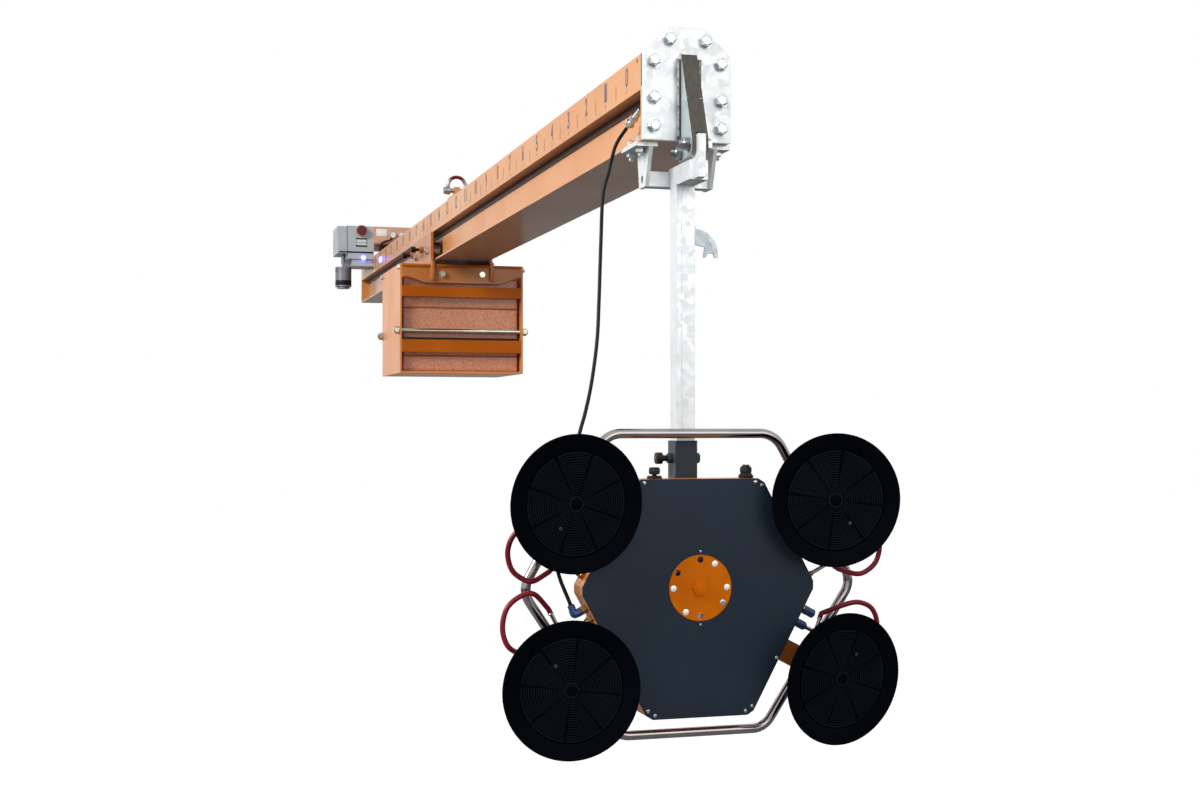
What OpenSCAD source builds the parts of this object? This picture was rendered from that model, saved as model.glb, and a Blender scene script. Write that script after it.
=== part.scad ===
// Glass panel lifter: a beam on a lifting bow, a column with a rotating
// four-cup suction frame at one end, a rolling counterweight at the other.
// X is across the beam, +Y runs from the suction frame to the pump end, +Z up.
// Inside the modules Y starts at the beam's near end, Z at its lower face.

/* [Beam] */
// Length of the beam
beam_len = 5530; // [5300:10:5700]
// Width of the beam
beam_w = 240; // [232:1:250]
// Thickness of the lower flange
flange_t = 8; // [6:1:10]
// Width over the lower webs
web_w = 164; // [158:1:168]
// Height of the lower webs
web_h = 124; // [120:1:130]
// Straight height of the upper box
upper_h = 93; // [85:1:100]
// Height of the sloping shoulders
shoulder_h = 70; // [60:1:80]
// Width of the flat top
top_w = 100; // [96:1:110]
// ridge left between the beam's two roof slopes
ridge_w = 60; // [56:1:64]
// Wall thickness
beam_wall = 6; // [5:1:8]
// Thickness of the closing plate at the far end
cap_t = 8; // [5:1:12]
// Distance from the near end to the first lock hole
lock_start = 2976; // [2940:1:3000]
// Distance between lock holes
lock_pitch = 125; // [123:1:125]
// Diameter of the lock holes
lock_hole_d = 17; // [16:0.5:20]
// Height of the lock holes
lock_z = 66; // [62:1:70]

/* [Lifting bow] */
// Distance from the near end to the bow
bow_y = 3140; // [3100:1:3180]
// Diameter of the bow's rod
bow_rod_d = 16; // [12:1:18]
// Radius of the bow's centre line
bow_r = 40; // [38:1:46]
// Diameter of the bow's eyes
bow_eye_d = 36; // [32:1:38]
// Height of the bow's pin over the beam
bow_pin_h = 35; // [33:1:40]
// Straight height from the pin to the bend
bow_leg = 22; // [20:1:30]
// Diameter of the bow's pin
bow_pin_d = 20; // [16:1:22]
// Thickness of the lug
bow_lug_t = 25; // [20:1:28]
// Length of the lug's foot
bow_foot_l = 160; // [130:1:200]
// Thickness of the lug's foot
bow_foot_t = 10; // [8:1:12]
// Height of the lug over its pin
bow_lug_top = 18; // [16:1:20]

/* [End plate and bracket] */
// Thickness of the end plate and of the beam's end flange
plate_t = 12; // [10:1:15]
// Diameter of the end bolts
bolt_d = 20; // [18:1:22]
// Distance from the plate's side to the bolts
bolt_edge = 28; // [25:1:32]
// Height of the lowest bolts
bolt_low = 35; // [30:1:40]
// Height of the middle bolts
bolt_mid = 109; // [100:1:120]
// Height of the upper bolts
bolt_high = 204; // [195:1:210]
// Half the distance between the top bolts
bolt_top_x = 49; // [45:1:52]
// Distance of the top bolts below the top edge
bolt_top_drop = 33; // [30:1:36]
// Width of the bracket's body
wedge_w = 44; // [40:1:48]
// Reach of the bracket in front of the beam
wedge_reach = 111; // [108:1:116]
// Height of the bracket's upper end
wedge_top = 222; // [200:1:240]
// Width of the slot for the hanger's lug
slot_w = 22; // [20:1:24]
// Width of the side ribs
rib_w = 12; // [8:1:16]

/* [Hanger and column] */
// Side of the square column
column_w = 50; // [46:1:54]
// Wall of the column
column_wall = 4; // [3:1:5]
// Height of the hanger arm's top below the beam
arm_drop = 63; // [60:1:70]
// Height of the lower end of the column
column_end = 1040; // [1000:1:1060]
// Side of the square cross tube
cross_w = 40; // [36:1:44]
// Distance from the near end to the cross tube's centre
cross_y = 80; // [78:1:84]
// Half the distance between the clamp side plates' inner faces
clamp_in = 84; // [82:1:86]
// Thickness of the clamp side plates
clamp_t = 10; // [8:1:12]
// Thickness of the clamp's upper plates
clamp_plate_t = 12; // [10:1:14]
// Diameter of the rigging bores in the side plates
rig_bore_d = 20; // [18:1:22]
// Diameter of the clamp bolts
clamp_bolt_d = 14; // [12:1:14]
// Radius of the hose hook's plate
hook_r = 66; // [60:1:80]
// Height of the top of the hook below the beam
hook_drop = 216; // [200:1:240]
// Side of the sleeve around the column
sleeve_w = 60; // [58:1:64]
// Clearance between the column and the sleeve
sleeve_gap = 0.5; // [0.3:0.1:0.8]
// Height of the sleeve's upper end below the beam
sleeve_top = 779; // [760:1:790]

/* [Turning head] */
// Height of the turning axis below the beam
head_drop = 1152; // [1140:1:1160]
// Distance from the near end to the front face of the suction frame
head_reach = 113; // [111:1:116]
// Outer diameter of the hub tube
hub_d = 90; // [86:1:94]
// Bore of the hub tube
hub_bore = 60; // [56:1:62]
// Diameter of the spindle
spindle_d = 40; // [36:1:42]
// Radial clearance of the spindle in its bushes
spindle_gap = 0.05; // [0.03:0.01:0.1]
// Diameter of the index disc
disc_d = 168; // [164:1:172]
// Thickness of the index disc
disc_t = 10; // [8:1:11]
// Diameter of the circle of index holes
index_pcd = 144; // [142:1:146]
// Diameter of the index holes
index_hole_d = 16; // [15:0.5:17]
// Diameter of the index pin
index_pin_d = 14; // [12:0.5:14.5]

/* [Suction frame] */
// Thickness of the front plate
front_t = 5; // [4:1:6]
// Depth of the body behind the front plate
body_depth = 78; // [74:1:82]
// Wall of the body
body_wall = 4; // [3:1:5]
// Width of the body's inner lip
lip_w = 22; // [20:1:24]
// Width of the cup arms
cup_arm_w = 57; // [52:1:62]
// Depth of the cup arms
cup_arm_t = 41; // [38:1:43]
// Diameter of the handle tube
handle_d = 25; // [22:1:26]
// Diameter of the cup pivot bolts
pivot_d = 16; // [14:1:18]
// Distance of the cup pivots in front of the arms
pivot_out = 20; // [19:1:22]
// Thickness of the tongue on each arm
tongue_t = 30; // [26:1:32]

/* [Cups] */
// Outer diameter of a cup
cup_d = 344; // [330:1:350]
// Diameter of the cup's plate
cup_plate_d = 240; // [230:1:244]
// Distance from the pivot to the cup's front edge
cup_h = 65; // [64:1:70]
// Thickness of the cup's plate
cup_plate_t = 8; // [6:1:9]
// Diameter of the ribbed pad inside the lip
cup_pad_d = 260; // [254:1:266]

/* [Trolley] */
// Distance from the near end to the front of the trolley
trolley_y = 3012; // [3005:1:3015]
// Length of the trolley's side plates
trolley_l = 524; // [520:1:530]
// Half the distance between the side plates' inner faces
trolley_in = 128; // [127:1:132]
// Thickness of the side plates
trolley_t = 12; // [10:1:14]
// Diameter of the rollers
roller_d = 81.4; // [76:0.2:84]
// Width of the rollers
roller_w = 28; // [24:1:29]
// Diameter of the roller axles
axle_d = 20; // [18:1:22]
// Half the inner width of the basket
basket_in = 271; // [268:1:276]
// Wall of the basket
basket_t = 8; // [6:1:9]
// Depth of the basket below the beam
basket_z = 505; // [500:1:515]
// Thickness of the lower slabs
slab_low = 72; // [66:1:74]
// Thickness of the upper slabs
slab_high = 140; // [134:1:141]
// Diameter of the tie rods
tie_d = 20; // [16:1:22]
// Diameter of the clamp screws' pins
lock_pin_d = 14; // [12:0.5:15]
// Travel of the clamp screws
lock_travel = 16; // [14:1:16]

/* [Pump unit] */
// Distance from the near end to the front of the pump unit
pump_y = 4995; // [4990:1:5020]
// Height of the pump housing
pump_h = 98; // [90:1:110]
// Length of the pump housing
pump_l = 400; // [360:1:420]
// Width of the control box
box_w = 150; // [145:1:155]
// Height of the control box
box_h = 187; // [180:1:187]
// Diameter of the stop button
stop_d = 51; // [44:1:54]
// Diameter of the filter bowl
bowl_d = 91; // [80:1:92]

/* [Hoses] */
// Diameter of the supply hose
supply_d = 10; // [9:0.5:11]
// Diameter of the cup hoses
red_d = 13.5; // [12:0.5:14]
// Tilt of the upper left cup toward the middle
tilt_tl = 7; // [5:1:9]
// Tilt of the upper right cup toward the middle
tilt_tr = 6; // [4:1:8]
// Tilt of the lower left cup toward the middle
tilt_bl = -3; // [-5:1:-1]
// Tilt of the lower right cup toward the middle
tilt_br = -12; // [-13:1:-10]

/* [Hidden] */
$fn = 48;
// a hair of extra depth for cuts
e = 1;
// gap between bodies that move against each other
gap = 0.3;

// derived heights of the beam
web_top = flange_t + web_h;
box_top = web_top + upper_h;
beam_top = box_top + shoulder_h;
pin_z = beam_top + bow_pin_h;
arc_z = pin_z + bow_leg;
crown_z = arc_z + bow_r - bow_rod_d / 2;
end_bolts = [[beam_w / 2 - bolt_edge, bolt_low], [beam_w / 2 - bolt_edge, bolt_mid],
  [beam_w / 2 - bolt_edge, bolt_high], [bolt_top_x, beam_top - bolt_top_drop]];
// flats of the bolt heads and height of the heads
bolt_af = bolt_d * 1.5;
bolt_head = 12.5;
washer_t = 3;
plate_front = -plate_t;
// bracket bolts: distance from the near end and height
fork_y = -89;
fork_z = -22;
tie_y = -27;
tie_z = -35;
// hanger and column
arm_top = -arm_drop;
arm_end = 60;
column_top = arm_top - column_w;
cross_z = arm_top - cross_w / 2 - 7;
clamp_y = [55, 135];
clamp_x = clamp_in + clamp_t + 13;
// turning head
hz = -head_drop;
face = -head_reach;
body_front = face + front_t;
body_rear = body_front + body_depth;
disc_back = face + disc_t;
flange_back = disc_back + 12;
hub_front = body_rear + 5;
hub_rear = 60;
pin_drop = index_pcd / 2;
// suction frame outline around the turning axis, as X and Z
outline = [[-139, -329], [139, -329], [316, 0], [169, 277], [-169, 277], [-316, 0]];
outer = cut_corners(outline, 12);
ring_r = disc_d / 2 - 2;
ring_out = ring_r + 21;
arm_front = body_front + 8;
arm_rear = arm_front + cup_arm_t;
pivot_y = arm_front - pivot_out;
handle_y = arm_rear + gap + handle_d / 2;
// cups: root on the body, direction of the arm, distance to the pivot, tilt
cups = [
  [[-230.75, 160.7], 180 - 27.96, 135, tilt_tl, [-40, -60]],
  [[230.75, 160.7], 27.96, 135, tilt_tr, [40, -60]],
  [[-227.8, -164], 180 + 28.28, 143, tilt_bl, [-40, 60]],
  [[227.8, -164], -28.28, 143, tilt_br, [40, 60]]];
cup_r = cup_d / 2;
plate_w0 = cup_h - 29;
plate_w1 = plate_w0 + cup_plate_t;
ear_in = tongue_t / 2 + 1;
ear_t = 10;
ear_r = 14;
port_len = 16;
// trolley
roller_z = flange_t + roller_d / 2 + gap;
roller_y = [trolley_y + 98, trolley_y + 388];
lock_y = [lock_start + 2 * lock_pitch, lock_start + 4 * lock_pitch];
lock_n = floor((beam_len - lock_start - 500) / lock_pitch);
trolley_out = trolley_in + trolley_t;
trolley_front = trolley_y + basket_t;
basket_out = basket_in + basket_t;
trolley_end = trolley_y + trolley_l + 2 * basket_t;
hanger_z = -20;
// places and thickness of the basket's crossbars
bar_z = [-165, -118, -412, -356];
tie_rod_z = -315;

// hose routes, as points in the beam's frame
supply_pts = [[-131, 168, 30], [-141, 173, 8], [-149, 177, -24], [-155, 180, -52],
  [-172, 181, -122], [-181, 170, -248], [-195, 140, -406], [-209, 110, -514],
  [-233, 75, -621], [-258, 45, -700], [-279, 25, -754], [-305, 5, -830],
  [-332, -12, -920], [-350, -20, -1010], [-358, -28, -1065], [-352, -42, -1120]];
red_tl = [[-460, -118, -992], [-488, -112, -1012], [-500, -108, -1050],
  [-490, -104, -1092], [-464, -102, -1116], [-434, -100, -1124]];
red_tr = [[462, -116, -996], [490, -112, -1016], [502, -108, -1056],
  [494, -104, -1096], [470, -102, -1120], [440, -100, -1129]];
red_bl = [[-466, -112, -1304], [-500, -108, -1280], [-512, -104, -1236],
  [-500, -102, -1188], [-466, -102, -1160], [-432, -102, -1156]];
red_br = [[462, -106, -1308], [488, -104, -1290], [497, -102, -1256],
  [484, -100, -1222], [456, -98, -1206], [420, -97, -1206]];

// helpers on points
function unit(v) = v / norm(v);
function cut_corners(p, c) = [for (i = [0 : len(p) - 1])
  for (s = [0, 1]) let (q = p[(i + len(p) + (s == 0 ? -1 : 1)) % len(p)])
    p[i] + c * unit(q - p[i])];
function turn_left(v) = [-v[1], v[0]];
function inset(p, d) = [for (i = [0 : len(p) - 1])
  let (n = len(p), a = turn_left(unit(p[i] - p[(i + n - 1) % n])),
    b = turn_left(unit(p[(i + 1) % n] - p[i])))
    p[i] + d * (a + b) / (1 + a * b)];
function arc(c, r, a0, a1, n) = [for (i = [0 : n])
  let (a = a0 + (a1 - a0) * i / n) [c[0] + r * cos(a), c[1] + r * sin(a)]];
function spin_y(a, p) = [p[0] * cos(a) - p[2] * sin(a), p[1], p[0] * sin(a) + p[2] * cos(a)];
function spin_z(a, p) = [p[0] * cos(a) - p[1] * sin(a), p[0] * sin(a) + p[1] * cos(a), p[2]];
function cup_pivot(c) = [c[0][0] + c[2] * cos(c[1]), pivot_y, hz + c[0][1] + c[2] * sin(c[1])];
function cup_dir(c, p) = spin_y(c[1], spin_z(-c[3], p));
function cup_point(c, p) = cup_pivot(c) + cup_dir(c, p);
// port on the back of a cup, in the cup's own axes
function port(c) = let (q = spin_y(-c[1], [c[4][0], 0, c[4][1]])) [q[0], -port_w, q[2]];
port_w = 13;

// smooth curve through points, then a tube swept along it
function cr(a, b, c, d, t) = 0.5 * (2 * b + (c - a) * t + (2 * a - 5 * b + 4 * c - d) * t * t
  + (3 * b - a - 3 * c + d) * t * t * t);
function curve(p, step) = [for (i = [0 : len(p) - 2])
  let (n = max(1, round(norm(p[i + 1] - p[i]) / step)),
    a = i == 0 ? 2 * p[0] - p[1] : p[i - 1],
    d = i == len(p) - 2 ? 2 * p[i + 1] - p[i] : p[i + 2])
  for (k = [0 : n - 1]) cr(a, p[i], p[i + 1], d, k / n)];
function route(p0, d0, p1, d1, mid, dia, step) = let (s0 = p0 + d0 * dia, s1 = p1 + d1 * dia)
  concat([p0], curve(concat([s0], mid, [s1]), step), [s1, p1]);
function tangent(p, i) = i == 0 ? unit(p[1] - p[0])
  : i == len(p) - 1 ? unit(p[i] - p[i - 1]) : unit(unit(p[i + 1] - p[i]) + unit(p[i] - p[i - 1]));
function side_dir(t, v) = unit(v - t * (v * t));
function frames(p, i, v) = i >= len(p) ? []
  : let (t = tangent(p, i), u = side_dir(t, v)) concat([[t, u]], frames(p, i + 1, u));
module tube_along(p, d, n) {
  f = frames(p, 0, abs(tangent(p, 0)[1]) > 0.8 ? [1, 0, 0] : [0, 1, 0]);
  pts = [for (i = [0 : len(p) - 1]) for (k = [0 : n - 1])
    let (w = cross(f[i][0], f[i][1]), a = 360 * k / n)
      p[i] + d / 2 * (cos(a) * f[i][1] + sin(a) * w)];
  sides = [for (i = [0 : len(p) - 2]) for (k = [0 : n - 1])
    [i * n + k, i * n + (k + 1) % n, (i + 1) * n + (k + 1) % n, (i + 1) * n + k]];
  first = [for (k = [0 : n - 1]) n - 1 - k];
  last = [for (k = [0 : n - 1]) (len(p) - 1) * n + k];
  polyhedron(points = pts, faces = [for (q = concat([first], sides, [last])) [for (k = [len(q) - 1 : -1 : 0]) q[k]]]);
}

// frame of the whole part: the origin is the inner crown of the lifting bow
module placed() {
  translate([0, -bow_y, -crown_z]) children();
}
module along_y(y0, y1) {
  translate([0, y1, 0]) rotate([90, 0, 0]) linear_extrude(y1 - y0) children();
}
module along_x(x0, x1) {
  translate([x0, 0, 0]) rotate([90, 0, 90]) linear_extrude(x1 - x0) children();
}
module box(x0, x1, y0, y1, z0, z1) {
  translate([x0, y0, z0]) cube([x1 - x0, y1 - y0, z1 - z0]);
}
module rod_x(d, x0, x1, y, z) {
  translate([x0, y, z]) rotate([0, 90, 0]) cylinder(d = d, h = x1 - x0);
}
module rod_y(d, x, y0, y1, z) {
  translate([x, y0, z]) rotate([-90, 0, 0]) cylinder(d = d, h = y1 - y0);
}
module rod_z(d, x, y, z0, z1) {
  translate([x, y, z0]) cylinder(d = d, h = z1 - z0);
}
module hex_x(af, x0, x1, y, z) {
  translate([x0, y, z]) rotate([0, 90, 0]) cylinder(r = af / sqrt(3), h = x1 - x0, $fn = 6);
}
module hex_y(af, x, y0, y1, z) {
  translate([x, y0, z]) rotate([-90, 0, 0]) cylinder(r = af / sqrt(3), h = y1 - y0, $fn = 6);
}
module hex_z(af, x, y, z0, z1) {
  translate([x, y, z0]) cylinder(r = af / sqrt(3), h = z1 - z0, $fn = 6);
}
// barrel from one point to another
module barrel(a, b, d) {
  v = b - a;
  translate(a) rotate([0, acos(v[2] / norm(v)), atan2(v[1], v[0])]) cylinder(d = d, h = norm(v));
}
module barrel_hex(a, b, af) {
  v = b - a;
  translate(a) rotate([0, acos(v[2] / norm(v)), atan2(v[1], v[0])])
    cylinder(r = af / sqrt(3), h = norm(v), $fn = 6);
}
module both() {
  children();
  mirror([1, 0, 0]) children();
}

// ---- fixed on the beam
module beam_outline() {
  polygon([[-beam_w / 2, 0], [beam_w / 2, 0], [beam_w / 2, box_top], [top_w / 2, beam_top],
    [-top_w / 2, beam_top], [-beam_w / 2, box_top]]);
}
module upper_outline() {
  polygon([[-beam_w / 2, web_top], [beam_w / 2, web_top], [beam_w / 2, box_top],
    [ridge_w / 2, beam_top], [-ridge_w / 2, beam_top], [-beam_w / 2, box_top]]);
}
module upper_cavity() {
  polygon(inset([[-beam_w / 2, web_top], [beam_w / 2, web_top], [beam_w / 2, box_top],
    [ridge_w / 2, beam_top], [-ridge_w / 2, beam_top], [-beam_w / 2, box_top]], beam_wall));
}
module cap_outline() {
  polygon([[-beam_w / 2, 0], [beam_w / 2, 0], [beam_w / 2, box_top], [ridge_w / 2, beam_top],
    [-ridge_w / 2, beam_top], [-beam_w / 2, box_top]]);
}
module end_bolt_places() {
  for (p = end_bolts) both() translate([p[0], 0, p[1]]) children();
}
module beam() {
  color("darkorange") placed() difference() {
    union() {
      box(-beam_w / 2, beam_w / 2, 0, beam_len, 0, flange_t);
      box(-web_w / 2, web_w / 2, 0, beam_len, 0, web_top + 1);
      along_y(0, beam_len) upper_outline();
      along_y(0, plate_t) beam_outline();
      along_y(beam_len - cap_t, beam_len) cap_outline();
    }
    box(-web_w / 2 + beam_wall, web_w / 2 - beam_wall, plate_t, beam_len - cap_t, flange_t, web_top);
    along_y(plate_t, beam_len - cap_t) upper_cavity();
    box(-web_w / 4, web_w / 4, -e, plate_t + e, bolt_low, box_top - 2 * beam_wall);
    end_bolt_places() rod_y(bolt_d + 0.4, 0, -e, plate_t + e, 0);
    for (i = [0 : lock_n]) rod_x(lock_hole_d, -web_w / 2 - e, -web_w / 2 + beam_wall + e, lock_start + i * lock_pitch, lock_z);
    both() for (y = clamp_y) rod_z(clamp_bolt_d + 1, clamp_x, y, -e, flange_t + e);
  }
}
module end_plate() {
  color("lightgray") placed() difference() {
    along_y(plate_front, 0) beam_outline();
    end_bolt_places() rod_y(bolt_d + 1, 0, plate_front - e, e, 0);
  }
}
module wedge_bracket() {
  color("silver") placed() difference() {
    union() {
      along_x(-wedge_w / 2, wedge_w / 2) polygon([[plate_front, wedge_top], [-25, wedge_top],
        [-wedge_reach, -8], [-wedge_reach, fork_z - 16], [-wedge_reach + 14, fork_z - 28],
        [tie_y, tie_z - 22], [plate_front, tie_z - 22]]);
      both() box(wedge_w / 2 - 1, wedge_w / 2 + rib_w, plate_front - 13, plate_front, 0, wedge_top - 12);
    }
    box(-slot_w / 2, slot_w / 2, -wedge_reach - 4, -60, -100, 8);
    rod_x(bolt_d + 1, -wedge_w / 2 - e, wedge_w / 2 + e, fork_y, fork_z);
    rod_x(bolt_d + 1, -wedge_w / 2 - e, wedge_w / 2 + e, tie_y, tie_z);
  }
}
module bolt_x(y, z, x0, x1, d) {
  rod_x(d, x0 - washer_t, x1 + washer_t + 26, y, z);
  rod_x(1.85 * d, x0 - washer_t, x0, y, z);
  hex_x(1.5 * d, x0 - washer_t - bolt_head, x0 - washer_t, y, z);
  rod_x(1.85 * d, x1, x1 + washer_t, y, z);
  hex_x(1.5 * d, x1 + washer_t, x1 + washer_t + 0.8 * d, y, z);
}
module galvanised_bolts() {
  color("whitesmoke") placed() {
    end_bolt_places() {
      rod_y(bolt_d, 0, plate_front - washer_t, plate_t, 0);
      rod_y(bolt_d * 1.85, 0, plate_front - washer_t, plate_front, 0);
      hex_y(bolt_af, 0, plate_front - washer_t - bolt_head, plate_front - washer_t, 0);
    }
    mirror([1, 0, 0]) bolt_x(fork_y, fork_z, -wedge_w / 2, wedge_w / 2, bolt_d);
    mirror([1, 0, 0]) bolt_x(tie_y, tie_z, -wedge_w / 2, wedge_w / 2, bolt_d);
    both() for (y = clamp_y) {
      rod_z(clamp_bolt_d, clamp_x, y, -clamp_plate_t - 22, flange_t + 3);
      rod_z(1.85 * clamp_bolt_d, clamp_x, y, flange_t, flange_t + 3);
      hex_z(1.5 * clamp_bolt_d, clamp_x, y, flange_t + 3, flange_t + 13);
      hex_z(1.5 * clamp_bolt_d, clamp_x, y, -clamp_plate_t - 13, -clamp_plate_t);
    }
  }
}
module hanger_arm() {
  color("lightsteelblue") placed() difference() {
    union() {
      box(-column_w / 2, column_w / 2, -101, arm_end, arm_top - column_w, arm_top);
      along_x(-slot_w / 2 + 1, slot_w / 2 - 1) polygon([[-126, arm_top - 47], [-101, arm_top - 47],
        [-101, arm_top], [-66, arm_top], [-66, 0], [-126, 0]]);
      box(-clamp_in, clamp_in, arm_end, arm_end + cross_w, cross_z - cross_w / 2, cross_z + cross_w / 2);
    }
    box(-column_w / 2 + 4, column_w / 2 - 4, -97, arm_end - 4, arm_top - column_w + 4, arm_top - 4);
    rod_x(bolt_d + 1, -slot_w, slot_w, fork_y, fork_z);
    box(-clamp_in - e, clamp_in + e, arm_end + 4, arm_end + cross_w - 4, cross_z - cross_w / 2 + 4, cross_z + cross_w / 2 - 4);
  }
}
module flange_clamps() {
  color("silver") placed() both() difference() {
    union() {
      along_x(clamp_in, clamp_in + clamp_t) polygon([[16, -clamp_plate_t], [123, -clamp_plate_t],
        [105, cross_z - 22], [53, cross_z - 22]]);
      box(clamp_in - 14, clamp_in + 46, 20, 150, -clamp_plate_t, 0);
    }
    rod_x(rig_bore_d, clamp_in - e, clamp_in + clamp_t + e, cross_y, cross_z);
    for (y = clamp_y) rod_z(clamp_bolt_d + 1, clamp_x, y, -60, e);
  }
}
module column() {
  color("gainsboro") placed() difference() {
    box(-column_w / 2, column_w / 2, 0, column_w, -column_end, column_top);
    box(-column_w / 2 + column_wall, column_w / 2 - column_wall, column_wall, column_w - column_wall, -column_end - e, column_top - 4);
    rod_x(11, -column_w / 2 - e, 0, column_w / 2, plunger_z);
  }
}
module hose_hook() {
  color("silver") placed() translate([column_w / 2, 0, -hook_drop]) {
    box(0, 6, 8, column_w - 8, -50, 0);
    along_y(22, 28) polygon(concat([[6, -6]], arc([6, -6 - hook_r], hook_r, 88, 0, 20),
      [[hook_r + 6, -hook_r - 15], [hook_r - 2, -hook_r - 15], [hook_r - 6, -hook_r - 4],
      [hook_r - 22, -hook_r - 4], [hook_r - 28, -hook_r - 15], [hook_r - 34, -hook_r - 15],
      [hook_r - 30, -54], [6, -48]]));
  }
}
plunger_z = -sleeve_top - 46;
sleeve_y0 = (column_w - sleeve_w) / 2;
sleeve_y1 = sleeve_y0 + sleeve_w;
module sleeve() {
  inner = column_w / 2 + sleeve_gap;
  color("dimgray") placed() difference() {
    union() {
      box(-sleeve_w / 2, sleeve_w / 2, sleeve_y0, sleeve_y1, hz + 20, -sleeve_top);
      rod_x(26, -sleeve_w / 2 - 12, -sleeve_w / 2 + 2, column_w / 2, plunger_z);
      rod_x(24, sleeve_w / 2 - 1, sleeve_w / 2 + 4, column_w / 2, plunger_z);
      hex_x(24, sleeve_w / 2 + 4, sleeve_w / 2 + 15, column_w / 2, plunger_z);
    }
    box(-inner, inner, column_w / 2 - inner, column_w / 2 + inner, -column_end - 20, -sleeve_top + e);
    rod_x(10.2, -sleeve_w, -column_w / 2, column_w / 2, plunger_z);
    rod_y(hub_d, 0, hub_front - e, hub_rear + e, hz);
  }
}
module column_plunger() {
  color("black") placed() {
    rod_x(10, -sleeve_w / 2 - 28, -column_w / 2 + 6, column_w / 2, plunger_z);
    rod_x(16, -sleeve_w / 2 - 28, -sleeve_w / 2 - 12 - gap, column_w / 2, plunger_z);
    rod_x(30, -sleeve_w / 2 - 44, -sleeve_w / 2 - 28, column_w / 2, plunger_z);
  }
}
block_rear = hub_rear - 15;
module hub_housing() {
  color("dimgray") placed() difference() {
    union() {
      rod_y(hub_d, 0, hub_front, hub_rear, hz);
      box(-20, 20, sleeve_y0, block_rear, hz - pin_drop - 26, hz - 40);
    }
    rod_y(hub_bore, 0, hub_front - e, hub_rear + e, hz);
    rod_y(index_pin_d + 0.1, 0, sleeve_y0 - e, block_rear + e, hz - pin_drop);
  }
}
module hub_bushes() {
  color("goldenrod") placed() for (y = [hub_front, hub_rear - 28]) difference() {
    rod_y(hub_bore, 0, y, y + 28, hz);
    rod_y(spindle_d + 2 * spindle_gap, 0, y - e, y + 28 + e, hz);
  }
}
module shackle_lug() {
  color("darkorange") placed() difference() {
    union() {
      box(-ridge_w / 2 + 2, ridge_w / 2 - 2, bow_y - bow_foot_l / 2, bow_y + bow_foot_l / 2, beam_top, beam_top + bow_foot_t);
      along_x(-bow_lug_t / 2, bow_lug_t / 2) polygon(concat([[bow_y - 46, beam_top], [bow_y + 46, beam_top]],
        arc([bow_y, pin_z], bow_lug_top, 0, 180, 24)));
    }
    rod_x(bow_pin_d + 0.2, -bow_lug_t, bow_lug_t, bow_y, pin_z);
  }
}
eye_in = bow_r - bow_rod_d / 2;
module lifting_bow() {
  color("darkgray") placed() difference() {
    union() {
      both() rod_x(bow_eye_d, eye_in, eye_in + bow_rod_d, bow_y, pin_z);
      both() rod_z(bow_rod_d, bow_r, bow_y, pin_z, arc_z);
      translate([0, bow_y, arc_z]) rotate([90, 0, 0]) rotate_extrude(angle = 180) translate([bow_r, 0]) circle(d = bow_rod_d);
    }
    rod_x(bow_pin_d + 0.1, -bow_r - bow_rod_d, bow_r + bow_rod_d, bow_y, pin_z);
  }
}
module shackle_pin() {
  w = eye_in + bow_rod_d;
  color("gray") placed() {
    rod_x(bow_pin_d, -w - 4, w + 20, bow_y, pin_z);
    rod_x(bow_pin_d + 12, -w - 12, -w, bow_y, pin_z);
    hex_x(bow_pin_d + 10, w, w + 16, bow_y, pin_z);
  }
}
module pump_housing() {
  color("peru") placed() {
    box(-beam_w / 2, beam_w / 2, pump_y, pump_y + pump_l, beam_top, beam_top + pump_h);
    box(-beam_w / 2 + 14, beam_w / 2 - 14, pump_y - 3, pump_y, beam_top + 12, beam_top + pump_h - 12);
  }
}
gauge_z = beam_top + 52;
module pressure_gauges() {
  color("white") placed() for (x = [-15, 35]) {
    rod_y(34, x, pump_y - 25, pump_y - 3, gauge_z);
    rod_y(12, x, pump_y - 3.5, pump_y - 3, gauge_z);
  }
}
box_x1 = -beam_w / 2;
box_x0 = box_x1 - box_w;
box_z1 = beam_top + pump_h;
box_z0 = box_z1 - box_h;
stop_z = box_z1 - 27;
stop_x = (box_x0 + box_x1) / 2 + 5;
switch_z = box_z0 + 94;
module control_box() {
  color("rosybrown") placed() difference() {
    union() {
      box(box_x0, box_x1, pump_y, pump_y + 300, box_z0, box_z1);
      box(box_x0 - 50, box_x0, pump_y + 30, pump_y + 260, box_z0 + 34, box_z1);
      box(box_x0 + 30, box_x1, pump_y + 10, pump_y + 200, box_z0 - 39, box_z0);
      rod_y(stop_d + 14, stop_x, pump_y - 6, pump_y, stop_z);
    }
    rod_y(24.2, stop_x, pump_y - 6 - e, pump_y + 20, stop_z);
    box(stop_x - 30, stop_x + 30, pump_y - e, pump_y + 22, switch_z - 18, switch_z + 18);
  }
}
module status_lamp() {
  color("blue") placed() {
    rod_y(9, stop_x + 11, pump_y - 5, pump_y, box_z0 + 12);
    rod_y(9, box_x1 - 8, pump_y + 2, pump_y + 10, box_z0 - 14);
  }
}
bowl_x = box_x0 - 10;
module filter_bowl() {
  color("silver") placed() {
    rod_z(bowl_d, bowl_x, pump_y + 100, box_z0 - 152, box_z0 - 40);
    rod_z(18, bowl_x, pump_y + 100, box_z0 - 40, box_z0 + 34);
    rod_z(bowl_d - 18, bowl_x, pump_y + 100, box_z0 - 162, box_z0 - 152);
    box(bowl_x, box_x0 + 30, pump_y + 88, pump_y + 112, box_z0 - 34, box_z0 - 10);
  }
}
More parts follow.
